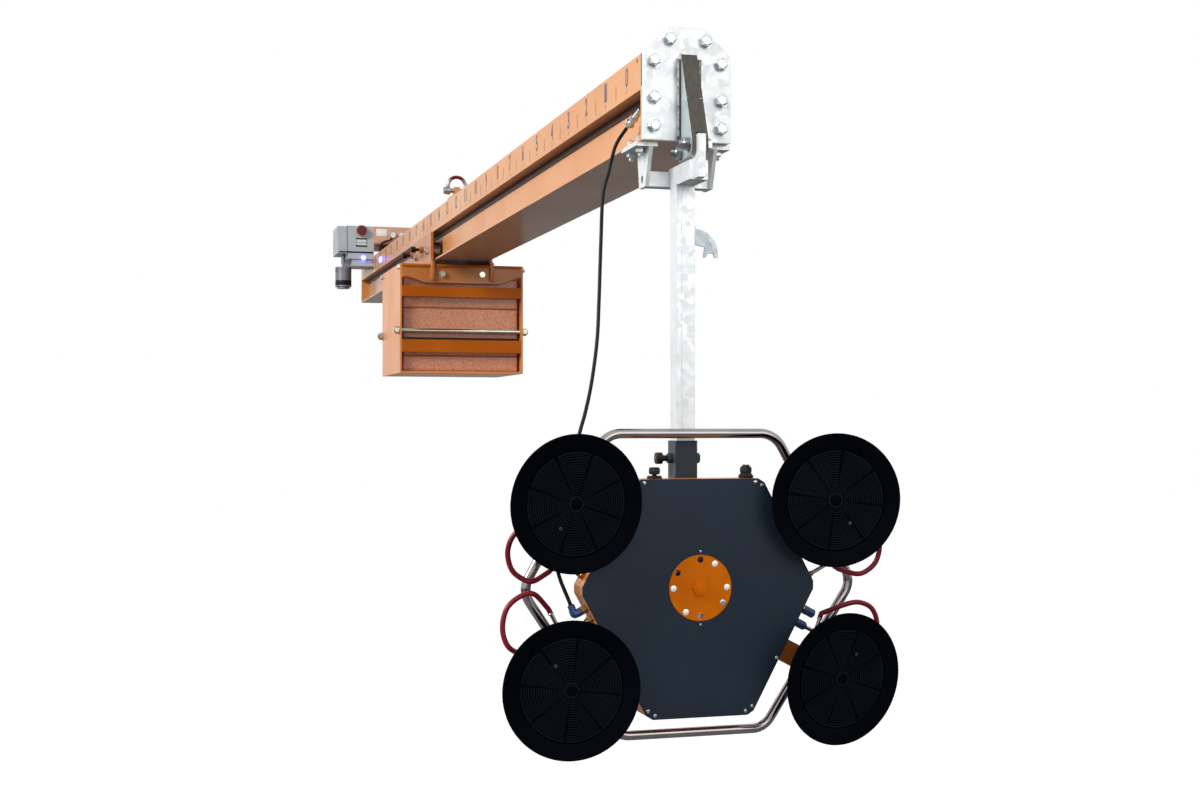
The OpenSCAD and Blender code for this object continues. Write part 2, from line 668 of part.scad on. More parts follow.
// supply hose: gland on the beam's left web
gland_y = 86;
gland_z = 90;
gland_a = [-web_w / 2 - 18, gland_y, gland_z];
gland_b = [-116, 140, 58];
gland_dir = unit(gland_b - gland_a);
module hose_gland() {
  color("silver") placed() {
    rod_x(24, -web_w / 2 - 6, -web_w / 2, gland_y, gland_z);
    hex_x(20, -web_w / 2 - 16, -web_w / 2 - 6, gland_y, gland_z);
    barrel(gland_a - 9 * gland_dir, gland_b, 14);
    barrel_hex(gland_a + 26 * gland_dir, gland_a + 42 * gland_dir, 18);
  }
}
// elbow on the left of the suction frame that takes the supply hose
elbow_n = [-0.8806, 0, -0.4738];
elbow_root = [-316 + 177 * 46 / 329, face + 38, hz - 46];
elbow_mid = elbow_root + 34 * elbow_n;
elbow_up = unit([-0.35, 0.12, 0.93]);
supply_end = elbow_mid + 26 * elbow_up;
module supply_hose() {
  color("black") placed() tube_along(route(gland_b, gland_dir, supply_end, elbow_up, supply_pts, supply_d, 34), supply_d, 8);
}
module stop_button() {
  color("darkred") placed() {
    rod_y(24, stop_x, pump_y - 18, pump_y + 12, stop_z);
    rod_y(stop_d, stop_x, pump_y - 34, pump_y - 14, stop_z);
  }
}
module power_switch() {
  color("black") placed() translate([stop_x, pump_y + 4, switch_z]) difference() {
    union() {
      rod_x(22, -28, 28, 0, 0);
      box(-28, 28, -9, 0, -16, 16);
      rod_x(5, -30, 30, 4, 0);
    }
    box(-29, 29, -12, -6, -20, -1);
  }
}
module index_pin() {
  color("silver") placed() {
    rod_y(index_pin_d, 0, disc_back + 0.5, hub_rear, hz - pin_drop);
    rod_y(32, 0, hub_rear, hub_rear + 10, hz - pin_drop);
    rod_y(20, 0, hub_rear + 10, hub_rear + 30, hz - pin_drop);
  }
}

// ---- rolling counterweight
module hanger_outline() {
  polygon([[-basket_in, hanger_z], [-basket_in, -66], [-172, -102], [172, -102],
    [basket_in, -66], [basket_in, hanger_z]]);
}
module trolley_frame() {
  color("darkorange") placed() difference() {
    union() {
      both() box(trolley_in, trolley_out, trolley_front, trolley_front + trolley_l, -62, 124);
      for (y = [trolley_y, trolley_front + trolley_l]) along_y(y, y + basket_t) hanger_outline();
      for (y = lock_y) rod_x(30, -trolley_out - 18, -trolley_out + 1, y, lock_z);
    }
    both() for (y = roller_y) rod_x(axle_d + 0.4, trolley_in - e, trolley_out + e, y, roller_z);
    for (y = lock_y) rod_x(lock_pin_d + 0.2, -trolley_out - 20, -trolley_in + e, y, lock_z);
    both() for (y = [trolley_y, trolley_front + trolley_l]) rod_y(17, 90, y - e, y + basket_t + e, -62);
  }
}
module basket() {
  color("chocolate") placed() difference() {
    union() {
      both() box(basket_in, basket_out, trolley_y, trolley_end, -basket_z, hanger_z);
      box(-basket_in, basket_in, trolley_y, trolley_end, -basket_z, -basket_z + basket_t);
    }
    for (y = tie_y_pos) rod_x(tie_d + 1, -basket_out - e, basket_out + e, y, tie_rod_z);
  }
}
tie_y_pos = [trolley_front + tie_d / 2 + 1, trolley_front + trolley_l - tie_d / 2 - 1];
module basket_bars() {
  color("sienna") placed() for (y = [trolley_y, trolley_end - basket_t]) {
    box(-basket_in, basket_in, y, y + basket_t, bar_z[0], bar_z[1]);
    box(-basket_in, basket_in, y, y + basket_t, bar_z[2], bar_z[3]);
  }
}
slab_y0 = trolley_front + tie_d + 4;
slab_y1 = trolley_front + trolley_l - tie_d - 4;
module counterweights() {
  z0 = -basket_z + basket_t;
  color("brown") placed() for (s = [[0, slab_low], [slab_low, slab_low], [2 * slab_low, slab_high],
    [2 * slab_low + slab_high, slab_high]])
    box(-basket_in + 9, basket_in - 9, slab_y0, slab_y1, z0 + s[0], z0 + s[0] + s[1] - 0.4);
}
module tie_rods() {
  color("silver") placed() {
    for (y = tie_y_pos) {
      rod_x(tie_d, -basket_out - 26, basket_out + 26, y, tie_rod_z);
      both() rod_x(tie_d + 18, basket_out, basket_out + 4, y, tie_rod_z);
      both() hex_x(1.5 * tie_d, basket_out + 4, basket_out + 20, y, tie_rod_z);
    }
    both() {
      bolt_y(90, trolley_y, trolley_front, -62);
      bolt_y(90, trolley_front + trolley_l, trolley_end, -62);
    }
  }
}
module bolt_y(x, y0, y1, z) {
  rod_y(16, x, y0 - 3, y1 + 16, z);
  rod_y(28, x, y0 - 3, y0, z);
  hex_y(24, x, y0 - 13, y0 - 3, z);
  hex_y(24, x, y1, y1 + 13, z);
}
roller_x = trolley_in - 12 - roller_w / 2;
module roller_axles() {
  color("silver") placed() both() for (y = roller_y) {
    rod_x(axle_d, roller_x - roller_w / 2 - 3, trolley_out + 16, y, roller_z);
    rod_x(axle_d + 12, roller_x - roller_w / 2 - 3, roller_x - roller_w / 2 - gap, y, roller_z);
    rod_x(axle_d + 8, roller_x + roller_w / 2 + gap, trolley_in, y, roller_z);
    hex_x(1.5 * axle_d, trolley_out, trolley_out + 12, y, roller_z);
  }
}
module roller(s, y) {
  x0 = s > 0 ? roller_x - roller_w / 2 : -roller_x - roller_w / 2;
  color("dimgray") placed() difference() {
    rod_x(roller_d, x0, x0 + roller_w, y, roller_z);
    rod_x(axle_d + 0.2, x0 - e, x0 + roller_w + e, y, roller_z);
    for (q = [x0 - e, x0 + roller_w - 3]) difference() {
      rod_x(roller_d - 18, q, q + 3 + e, y, roller_z);
      rod_x(axle_d + 14, q - e, q + 3 + 2 * e, y, roller_z);
    }
  }
}
module roller_front_left() { roller(-1, roller_y[0]); }
module roller_front_right() { roller(1, roller_y[0]); }
module roller_rear_left() { roller(-1, roller_y[1]); }
module roller_rear_right() { roller(1, roller_y[1]); }
module trolley_lock(y) {
  stop = -trolley_out - 19 - lock_travel;
  color("black") placed() {
    rod_x(lock_pin_d, stop, -web_w / 2 - 10, y, lock_z);
    rod_x(28, stop - 22, stop, y, lock_z);
  }
}
module trolley_lock_front() { trolley_lock(lock_y[0]); }
module trolley_lock_rear() { trolley_lock(lock_y[1]); }

// ---- turning suction frame
screws = [[150, 268], [167, 259], [122, -318], [140, -306], [208, -186]];
module at_head() {
  translate([0, 0, hz]) children();
}
release_x = -109;
vent_x = 140;
valve_y = face + 43;
body_top = 277;
module frame_body() {
  color("darkorange") placed() at_head() difference() {
    union() {
      difference() {
        along_y(body_front, body_rear) polygon(outer);
        along_y(body_front + 3, body_rear - body_wall) polygon(inset(outer, body_wall));
        along_y(body_front - e, body_front + 4) polygon(inset(outer, lip_w));
      }
      rod_y(2 * ring_out, 0, body_front, body_rear, 0);
      rod_z(30, release_x, valve_y, body_top - 1, body_top + 6);
      rod_z(30, vent_x, valve_y, body_top - 1, body_top + 4);
    }
    rod_y(2 * ring_r, 0, body_front - e, body_rear + e, 0);
    rod_y(disc_d + 0.2, 0, body_front - e, disc_back, 0);
    both() for (s = screws) rod_y(6.4, s[0], body_front - e, body_front + 7, s[1]);
    for (s = [-1, 1]) rod_y(4.4, 0, body_front - e, body_front + 12, s * (ring_r + 11));
    rod_z(12.4, release_x, valve_y, body_top - 20, body_top + 8);
    rod_z(10.4, vent_x, valve_y, body_top - 20, body_top + 8);
  }
}
module front_plate() {
  color("darkslategray") placed() at_head() difference() {
    along_y(face, body_front) polygon(outer);
    rod_y(disc_d + 2, 0, face - e, body_front + e, 0);
    both() for (s = screws) rod_y(6.4, s[0], face - e, body_front + e, s[1]);
    for (s = [-1, 1]) rod_y(4.4, 0, face - e, body_front + e, s * (ring_r + 11));
  }
}
index_angles = [0, 57, 90, 147, 180, 237, 270, 327];
module index_disc() {
  color("orange") placed() at_head() difference() {
    rod_y(disc_d, 0, face, disc_back, 0);
    rod_y(24.4, 0, face - e, disc_back + e, 0);
    for (a = index_angles) rod_y(index_hole_d, pin_drop * cos(a), face - e, disc_back + e, pin_drop * sin(a));
  }
}
module spindle() {
  color("gray") placed() at_head() {
    rod_y(24, 0, face - 10, disc_back, 0);
    rod_y(110, 0, disc_back, flange_back, 0);
    rod_y(58, 0, flange_back, hub_front - gap, 0);
    rod_y(spindle_d, 0, flange_back, hub_rear + 24, 0);
  }
}
module spindle_nut() {
  color("orangered") placed() at_head() {
    difference() {
      hex_y(36, 0, face - 8, face, 0);
      rod_y(24.2, 0, face - 9, face + e, 0);
    }
    difference() {
      union() {
        rod_y(72, 0, hub_rear + gap, hub_rear + 4, 0);
        hex_y(54, 0, hub_rear + 4, hub_rear + 20, 0);
      }
      rod_y(spindle_d + 0.2, 0, hub_rear - e, hub_rear + 21, 0);
    }
  }
}
module at_pivot(c) {
  translate(cup_pivot(c)) rotate([0, -c[1], 0]) children();
}
module frame_fasteners() {
  r = ear_in + ear_t + gap;
  color("lightgray") placed() {
    at_head() {
      both() for (s = screws) {
        rod_y(6, s[0], face, body_front + 6, s[1]);
        rod_y(10, s[0], face - 4, face, s[1]);
      }
      for (s = [-1, 1]) {
        rod_y(4, 0, face, body_front + 10, s * (ring_r + 11));
        rod_y(7, 0, face - 2.5, face, s * (ring_r + 11));
      }
    }
    for (c = cups) at_pivot(c) {
      rod_z(pivot_d, 0, 0, -r - 1, r + 16);
      hex_z(1.5 * pivot_d, 0, 0, -r - 10, -r);
      hex_z(1.5 * pivot_d, 0, 0, r, r + 13);
    }
  }
}
// closed loop of round tube through corner points [x, z, radius]
loop_pts = [[-200, -378, 60], [200, -378, 60], [450, 0, 60], [230, 392, 70], [-230, 392, 70], [-450, 0, 60]];
function flat(p) = [p[0], p[1]];
// points around the loop, with a bend of eight steps at each corner
loop_path = [for (i = [0 : len(loop_pts) - 1])
  let (n = len(loop_pts), p = flat(loop_pts[i]), r = loop_pts[i][2],
    d0 = unit(p - flat(loop_pts[(i + n - 1) % n])), d1 = unit(flat(loop_pts[(i + 1) % n]) - p),
    bend = acos(d0 * d1), c = p - r * tan(bend / 2) * d0 + r * turn_left(d0), a0 = atan2(d0[1], d0[0]) - 90)
  for (q = arc(c, r, a0, a0 + bend, 8)) q];
module handle_loop() {
  n = len(loop_path);
  m = 20;
  pts = [for (i = [0 : n - 1])
    let (d = unit(unit(loop_path[(i + 1) % n] - loop_path[i]) + unit(loop_path[i] - loop_path[(i + n - 1) % n])),
      w = turn_left(d))
    for (k = [0 : m - 1]) let (s = handle_d / 2 * sin(360 * k / m))
      [loop_path[i][0] + s * w[0], handle_y + handle_d / 2 * cos(360 * k / m), hz + loop_path[i][1] + s * w[1]]];
  color("silver") placed() polyhedron(points = pts, faces = [for (i = [0 : n - 1]) for (k = [0 : m - 1])
    [i * m + k, ((i + 1) % n) * m + k, ((i + 1) % n) * m + (k + 1) % m, i * m + (k + 1) % m]]);
}
module cup_arms() {
  color("chocolate") placed() for (c = cups)
    translate([c[0][0], 0, hz + c[0][1]]) rotate([0, -c[1], 0]) difference() {
      union() {
        box(0, c[2] + 18, arm_front, arm_rear, -cup_arm_w / 2, cup_arm_w / 2);
        box(c[2] - ear_r, c[2] + ear_r, pivot_y, arm_front + 1, -tongue_t / 2, tongue_t / 2);
        rod_z(2 * ear_r, c[2], pivot_y, -tongue_t / 2, tongue_t / 2);
      }
      box(-e, c[2] + 14, arm_front + 4, arm_rear - 4, -cup_arm_w / 2 + 4, cup_arm_w / 2 - 4);
      rod_z(pivot_d + 0.2, c[2], pivot_y, -cup_arm_w, cup_arm_w);
    }
}
// air connections: corner, far corner, distance along the edge, length, end leg
air_y = face + 38;
air = [
  [[-316, 0], [-169, 277], 39, 76, [-14, 0, -14]],
  [[316, 0], [169, 277], 20, 74, [17, 0, -11]],
  [[-316, 0], [-139, -329], 82, 85, [-31, 0, 57]],
  [[316, 0], [139, -329], 106, 75, [14, 0, 36]]];
function air_root(q) = let (d = unit(q[1] - q[0]), p = q[0] + q[2] * d) [p[0], air_y, hz + p[1]];
function air_n(q) = let (d = unit(q[1] - q[0]), s = (q[0][0] > 0 ? 1 : -1) * (q[1][1] > 0 ? 1 : -1))
  [s * d[1], 0, -s * d[0]];
function air_knee(q) = air_root(q) + q[3] * air_n(q);
function air_tip(q) = air_knee(q) + q[4];
module air_fittings() {
  color("royalblue") placed() {
    for (q = air) {
      barrel(air_root(q), air_knee(q), 12);
      barrel_hex(air_root(q), air_root(q) + 12 * air_n(q), 19);
      translate(air_knee(q)) sphere(d = 16);
      barrel(air_knee(q), air_tip(q), 11);
    }
    barrel(air_root(air[3]) + 12 * air_n(air[3]), air_root(air[3]) + 42 * air_n(air[3]), 23);
    barrel_hex(elbow_root, elbow_root + 14 * elbow_n, 20);
    barrel(elbow_root + 14 * elbow_n, elbow_mid, 22);
    barrel(elbow_mid - 12 * elbow_up, elbow_mid + 7 * elbow_up, 24);
    barrel(elbow_mid + 7 * elbow_up, supply_end - 0.1 * elbow_up, 19);
    barrel_hex(cap_root, cap_root + 18 * cap_n, 20);
    barrel(cap_root + 18 * cap_n, cap_root + 50 * cap_n, 24);
  }
}
cap_n = [0.8806, 0, -0.4738];
cap_root = [316 - 177 * 59 / 329, air_y, hz - 59];
module cup_hose(c, q, mid) {
  d0 = cup_dir(c, exit_dir(c));
  p0 = cup_point(c, port(c)) + (barb_l + 0.1) * d0;
  color("crimson") placed() tube_along(route(p0, d0, air_tip(q), unit(q[4]), mid, red_d, 34), red_d, 8);
}
barb_l = 24;
function exit_dir(c) = spin_y(-c[1], [sign(c[4][0]), 0, 0]);
module red_hose_tl() { cup_hose(cups[0], air[0], red_tl); }
module red_hose_tr() { cup_hose(cups[1], air[1], red_tr); }
module red_hose_bl() { cup_hose(cups[2], air[2], red_bl); }
module red_hose_br() { cup_hose(cups[3], air[3], red_br); }
module release_button() {
  color("black") placed() at_head() {
    rod_z(12, release_x, valve_y, body_top - 8, body_top + 11);
    rod_z(24, release_x, valve_y, body_top + 11, body_top + 29);
  }
}
module vent_knob() {
  color("black") placed() at_head() {
    rod_z(10, vent_x, valve_y, body_top - 8, body_top + 5);
    translate([vent_x, valve_y, body_top + 4 + gap]) cylinder(d1 = 41, d2 = 27, h = 9);
    rod_z(25, vent_x, valve_y, body_top + 13, body_top + 30);
    box(vent_x - 4, vent_x + 4, valve_y - 15, valve_y + 15, body_top + 13, body_top + 34);
  }
}

// ---- cups
module at_cup(c) {
  at_pivot(c) rotate([0, 0, -c[3]]) children();
}
module cup_plate(c) {
  p = port(c);
  d = exit_dir(c);
  color("slategray") placed() at_cup(c) {
    difference() {
      union() {
        rotate([90, 0, 0]) translate([0, 0, plate_w0]) cylinder(d = cup_plate_d, h = cup_plate_t);
        for (z = [-ear_in - ear_t, ear_in]) translate([0, 0, z]) linear_extrude(ear_t) {
          circle(r = ear_r);
          polygon([[-ear_r, 0], [-ear_r - 8, -plate_w0 - 1], [ear_r + 8, -plate_w0 - 1], [ear_r, 0]]);
        }
      }
      rod_z(pivot_d + 0.2, 0, 0, -40, 40);
      rod_y(6, p[0], -cup_h, -plate_w0 + 4, p[2]);
    }
    rod_y(20, p[0], -plate_w0, p[1], p[2]);
    translate(p) sphere(d = 16);
    barrel(p, p + barb_l * d, 11);
  }
}
module cup_rubber(c) {
  p = port(c);
  rp = cup_plate_d / 2;
  rr = cup_pad_d / 2;
  color("black") placed() at_cup(c) difference() {
    rotate([90, 0, 0]) rotate_extrude($fn = 96) polygon([[0, plate_w1], [rp, plate_w1], [rp, plate_w0],
      [rp - 12, plate_w0], [rp - 12, plate_w0 - 5], [rp + 7, plate_w0 - 5], [cup_r - 20, plate_w0 + 11],
      [cup_r, cup_h - 5], [cup_r, cup_h], [cup_r - 4, cup_h], [rr + 2, cup_h - 8], [rr + 2, cup_h - 11],
      [rr - 2, cup_h - 11], [rr - 2, cup_h - 8], [15, cup_h - 8], [12, cup_h - 6], [0, cup_h - 6]]);
    rod_y(6, p[0], -cup_h - e, -plate_w0, p[2]);
  }
}
module cup_plate_tl() { cup_plate(cups[0]); }
module cup_rubber_tl() { cup_rubber(cups[0]); }
module cup_plate_tr() { cup_plate(cups[1]); }
module cup_rubber_tr() { cup_rubber(cups[1]); }
module cup_plate_bl() { cup_plate(cups[2]); }
module cup_rubber_bl() { cup_rubber(cups[2]); }
module cup_plate_br() { cup_plate(cups[3]); }
module cup_rubber_br() { cup_rubber(cups[3]); }

beam();
end_plate();
wedge_bracket();
galvanised_bolts();
hanger_arm();
flange_clamps();
column();
hose_hook();
sleeve();
hub_housing();
hub_bushes();
shackle_lug();
pump_housing();
pressure_gauges();
control_box();
status_lamp();
filter_bowl();
hose_gland();
supply_hose();
lifting_bow();
shackle_pin();
stop_button();
power_switch();
column_plunger();
index_pin();
trolley_frame();
basket();
basket_bars();
counterweights();
tie_rods();
roller_axles();
roller_front_left();
roller_front_right();
roller_rear_left();
roller_rear_right();
trolley_lock_front();
trolley_lock_rear();
frame_body();
front_plate();
index_disc();
spindle();
spindle_nut();
frame_fasteners();
handle_loop();
cup_arms();
air_fittings();
red_hose_tl();
red_hose_tr();
red_hose_bl();
red_hose_br();
release_button();
vent_knob();
cup_plate_tl();
cup_rubber_tl();
cup_plate_tr();
cup_rubber_tr();
cup_plate_bl();
cup_rubber_bl();
cup_plate_br();
cup_rubber_br();
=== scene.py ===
"""Glass panel lifter: a counterbalanced vacuum lifter hung from a crane.

The beam hangs by its bow. A column under the near end carries a turning frame
with four rubber cups, and a basket of steel slabs rolls along the other side.
"""

import math

import bmesh
import bpy
from mathutils import Matrix, Vector, noise


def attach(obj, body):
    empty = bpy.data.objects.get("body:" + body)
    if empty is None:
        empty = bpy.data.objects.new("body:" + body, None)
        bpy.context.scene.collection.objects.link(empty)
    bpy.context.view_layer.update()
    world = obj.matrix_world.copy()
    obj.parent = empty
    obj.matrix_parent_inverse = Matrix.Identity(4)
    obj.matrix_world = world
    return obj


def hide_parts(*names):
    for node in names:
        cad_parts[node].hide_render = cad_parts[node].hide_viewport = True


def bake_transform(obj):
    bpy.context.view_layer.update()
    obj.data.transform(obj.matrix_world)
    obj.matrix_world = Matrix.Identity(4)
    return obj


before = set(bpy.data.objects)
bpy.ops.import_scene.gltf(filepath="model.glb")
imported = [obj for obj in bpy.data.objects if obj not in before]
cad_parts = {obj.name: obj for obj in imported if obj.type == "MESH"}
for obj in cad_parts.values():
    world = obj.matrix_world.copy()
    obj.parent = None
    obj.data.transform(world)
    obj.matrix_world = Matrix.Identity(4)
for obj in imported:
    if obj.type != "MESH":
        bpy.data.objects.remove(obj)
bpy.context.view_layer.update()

scene = bpy.context.scene
scene.view_settings.view_transform = "Standard"


def linked(name, data):
    """A new object in the scene."""
    piece = bpy.data.objects.new(name, data)
    scene.collection.objects.link(piece)
    return piece


# ---------------------------------------------------------------- the view
# The camera stands level, left of the column, as the photographer did. The
# studio is plain: a large soft light high on the left and a white surround.
camera = linked("camera", bpy.data.cameras.new("camera"))
camera.location = (-1.3429, -6.9606, -1.125)
camera.rotation_euler = Vector((0.279, 0.9603, 0)).to_track_quat("-Z", "Y").to_euler()
camera.data.lens = 46.5
camera.data.sensor_width = 36
camera.data.shift_y = 0.0217
camera.data.clip_end = 60
scene.camera = camera


def soft_light(name, place, aim, size, power):
    lamp = bpy.data.lights.new(name, "AREA")
    lamp.shape = "DISK"
    lamp.size = size
    lamp.energy = power
    stand = linked(name, lamp)
    stand.location = place
    stand.rotation_euler = (Vector(aim) - Vector(place)).to_track_quat("-Z", "Y").to_euler()


soft_light("key_light", (-7.2, -3.8, 3.4), (0.0, -2.1, -0.9), 3.5, 760)
soft_light("front_light", (1.5, -9.5, 1.2), (0.0, -3.0, -1.2), 5.0, 85)


def feed(tree, node, sockets):
    """Sets a node's sockets, each to a plain value or to another node's output."""
    for label, value in sockets.items():
        if isinstance(value, bpy.types.NodeSocket):
            tree.links.new(value, node.inputs[label])
        else:
            node.inputs[label].default_value = value
    return node


def add(tree, kind, sockets=(), **settings):
    """A new node. Its settings come first, because they decide its sockets."""
    node = tree.nodes.new(kind)
    for label, value in settings.items():
        setattr(node, label, value)
    return feed(tree, node, dict(sockets))


def maths(tree, operation, *values, **settings):
    """The result of a sum of numbers and other nodes' outputs."""
    return add(tree, "ShaderNodeMath", dict(enumerate(values)), operation=operation, **settings).outputs[0]


def blended(tree, share, a, b):
    """A colour between two others."""
    return add(tree, "ShaderNodeMix", {"Factor": share, "A": a, "B": b}, data_type="RGBA").outputs["Result"]


def ramped(tree, value, low, high, top=1.0):
    """A value stretched so that low becomes 0 and high becomes top."""
    return add(tree, "ShaderNodeMapRange",
               {"Value": value, "From Min": low, "From Max": high, "To Max": top}).outputs[0]


def grain(tree, scale, detail=2):
    """Noise in the object's own space."""
    place = add(tree, "ShaderNodeTexCoord").outputs["Object"]
    return add(tree, "ShaderNodeTexNoise", {"Vector": place, "Scale": scale, "Detail": detail}).outputs


def new_material(name):
    material = bpy.data.materials.new(name)
    material.use_nodes = True
    return material, material.node_tree, material.node_tree.nodes["Principled BSDF"]


def white_room():
    """White behind the object and in its reflections, and dimmer as a light on it."""
    world = bpy.data.worlds.new("white_room")
    world.use_nodes = True
    tree = world.node_tree
    ray = add(tree, "ShaderNodeLightPath").outputs
    seen = maths(tree, "MAXIMUM", ray["Is Camera Ray"], ray["Is Glossy Ray"])
    level = add(tree, "ShaderNodeMapRange", {"Value": seen, "To Min": 0.40, "To Max": 1.0})
    feed(tree, tree.nodes["Background"], {"Strength": level.outputs[0], "Color": (1, 1, 1, 1)})
    scene.world = world


def pale_floor(reach=30, height=-3.3):
    """A grey floor that glows nearly white where the camera sees it."""
    data = bpy.data.meshes.new("floor")
    data.from_pydata([(x * reach, y * reach, height) for x, y in ((-1, -1), (1, -1), (1, 1), (-1, 1))], [],
                     [(0, 1, 2, 3)])
    material, tree, shader = new_material("floor_white")
    glow = maths(tree, "MULTIPLY", add(tree, "ShaderNodeLightPath").outputs["Is Camera Ray"], 0.86)
    feed(tree, shader, {"Base Color": (0.30, 0.30, 0.30, 1), "Roughness": 0.9,
                        "Emission Color": (1, 1, 1, 1), "Emission Strength": glow})
    data.materials.append(material)
    linked("floor", data)


white_room()
pale_floor()

# ---------------------------------------------------------------- black supply hose
# A smooth black rubber vacuum hose. It leaves a screwed gland in the beam's
# left web, hangs down beside the column and ends in a blue push fitting.
ORIGIN = Vector((0.0, 3.140, 0.384))


def at(x, y, z):
    """A point given in millimetres from the beam's near end and lower face."""
    return Vector((x, y, z)) / 1000 - ORIGIN


def flowing(points, step):
    """Points along a smooth curve through the given ones."""
    line = []
    for i in range(len(points) - 1):
        b, c = points[i], points[i + 1]
        a = points[i - 1] if i else 2 * b - c
        d = points[i + 2] if i + 2 < len(points) else 2 * c - b
        count = max(1, round((c - b).length / step))
        for k in range(count):
            t = k / count
            line.append(0.5 * (2 * b + (c - a) * t + (2 * a - 5 * b + 4 * c - d) * t * t
                               + (3 * b - a - 3 * c + d) * t ** 3))
    return line + [points[-1]]


def hose_line(start, leaves, end, arrives, middle, width, step=0.006):
    """A hose's centre line, straight for one width at both ends."""
    s0, s1 = start + leaves * width, end + arrives * width
    line = flowing([s0] + middle + [s1], step)
    return [start, start + leaves * width / 2] + line + [end + arrives * width / 2, end]


def finished(name, data, material, body, smooth=True):
    """A mesh made into a piece that rides on a body."""
    piece = linked(name, data)
    if material:
        data.materials.append(material)
    if smooth:
        data.polygons.foreach_set("use_smooth", [True] * len(data.polygons))
    if body:
        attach(piece, body)
    return piece


def ring_faces(rings, sides, closed=False):
    """Faces between rings of points, with flat ends unless the last meets the first."""
    faces = []
    for i in range(rings if closed else rings - 1):
        j = (i + 1) % rings
        for k in range(sides):
            n = (k + 1) % sides
            faces.append((i * sides + k, i * sides + n, j * sides + n, j * sides + k))
    if not closed:
        faces.append(tuple(reversed(range(sides))))
        faces.append(tuple((rings - 1) * sides + k for k in range(sides)))
    return faces


def swept(line, radius, sides=20, closed=False):
    """A round tube mesh along a line, with a map of its length and girth."""
    count = len(line)
    heading = []
    for i in range(count):
        a = line[i - 1] if closed or i else line[i]
        b = line[(i + 1) % count] if closed or i + 1 < count else line[i]
        heading.append((b - a).normalized())
    up = Vector((0, 1, 0)) if abs(heading[0].y) < 0.8 else Vector((1, 0, 0))
    verts, rise = [], [0.0]
    for i in range(count):
        up = (up - heading[i] * up.dot(heading[i])).normalized()
        side = heading[i].cross(up)
        width = radius[i] if isinstance(radius, list) else radius
        for k in range(sides):
            turn = 2 * math.pi * k / sides
            verts.append(line[i] + (up * math.cos(turn) + side * math.sin(turn)) * width)
        if i:
            rise.append(rise[-1] + (line[i] - line[i - 1]).length)
    data = bpy.data.meshes.new("tube")
    data.from_pydata(verts, [], ring_faces(count, sides, closed))
    layout = data.uv_layers.new(name="along")
    for face in data.polygons:
        for loop in face.loop_indices:
            v = data.loops[loop].vertex_index
            layout.data[loop].uv = (rise[v // sides], (v % sides) / sides)
    return data


COLOUR, FLOAT = "NodeSocketColor", "NodeSocketFloat"


def new_group(name, sockets_in, sockets_out):
    """An empty shader group, what it is given, and its end."""
    group = bpy.data.node_groups.new(name, "ShaderNodeTree")
    for label, kind, value in sockets_in:
        group.interface.new_socket(name=label, in_out="INPUT", socket_type=kind).default_value = value
    for label, kind in sockets_out:
        group.interface.new_socket(name=label, in_out="OUTPUT", socket_type=kind)
    return group, group.nodes.new("NodeGroupInput").outputs, group.nodes.new("NodeGroupOutput")


def patchy_surface():
    """Large soft patches between two colours, and a fine tooth for roughness and height."""
    group, given, out = new_group("patchy_surface", [
        ("Colour", COLOUR, (1, 1, 1, 1)), ("Patch Colour", COLOUR, (0.5, 0.5, 0.5, 1)),
        ("Patch Scale", FLOAT, 4.0), ("Patch Share", FLOAT, 0.5), ("Tooth Scale", FLOAT, 300.0),
        ("Roughness", FLOAT, 0.5), ("Roughness Spread", FLOAT, 0.15)],
        [("Colour", COLOUR), ("Roughness", FLOAT), ("Height", FLOAT)])
    patch, tooth = grain(group, given["Patch Scale"], 5)["Fac"], grain(group, given["Tooth Scale"], 4)["Fac"]
    share = ramped(group, patch, 0.35, 0.68, given["Patch Share"])
    centred = maths(group, "SUBTRACT", maths(group, "ADD", patch, tooth), 1.0)
    feed(group, out, {
        "Colour": blended(group, share, given["Colour"], given["Patch Colour"]), "Height": tooth,
        "Roughness": maths(group, "MULTIPLY_ADD", centred, given["Roughness Spread"], given["Roughness"])})
    return group


def worn_edges():
    """A mask of the outer edges, broken up by noise, and the rounded normal there."""
    group, given, out = new_group("worn_edges", [
        ("Radius", FLOAT, 0.0015), ("Amount", FLOAT, 0.5), ("Break Scale", FLOAT, 60.0)],
        [("Mask", FLOAT), ("Normal", "NodeSocketVector")])
    rounded = add(group, "ShaderNodeBevel", {"Radius": given["Radius"]}, samples=3).outputs["Normal"]
    flat = add(group, "ShaderNodeNewGeometry").outputs["Normal"]
    same = add(group, "ShaderNodeVectorMath", {0: rounded, 1: flat}, operation="DOT_PRODUCT")
    edge = ramped(group, same.outputs["Value"], 0.995, 0.85)
    broken = ramped(group, grain(group, given["Break Scale"], 6)["Fac"], 0.42, 0.6)
    mask = maths(group, "MULTIPLY", maths(group, "MULTIPLY", edge, broken), given["Amount"])
    feed(group, out, {"Mask": mask, "Normal": rounded})
    return group


PATCHY, WORN = patchy_surface(), worn_edges()


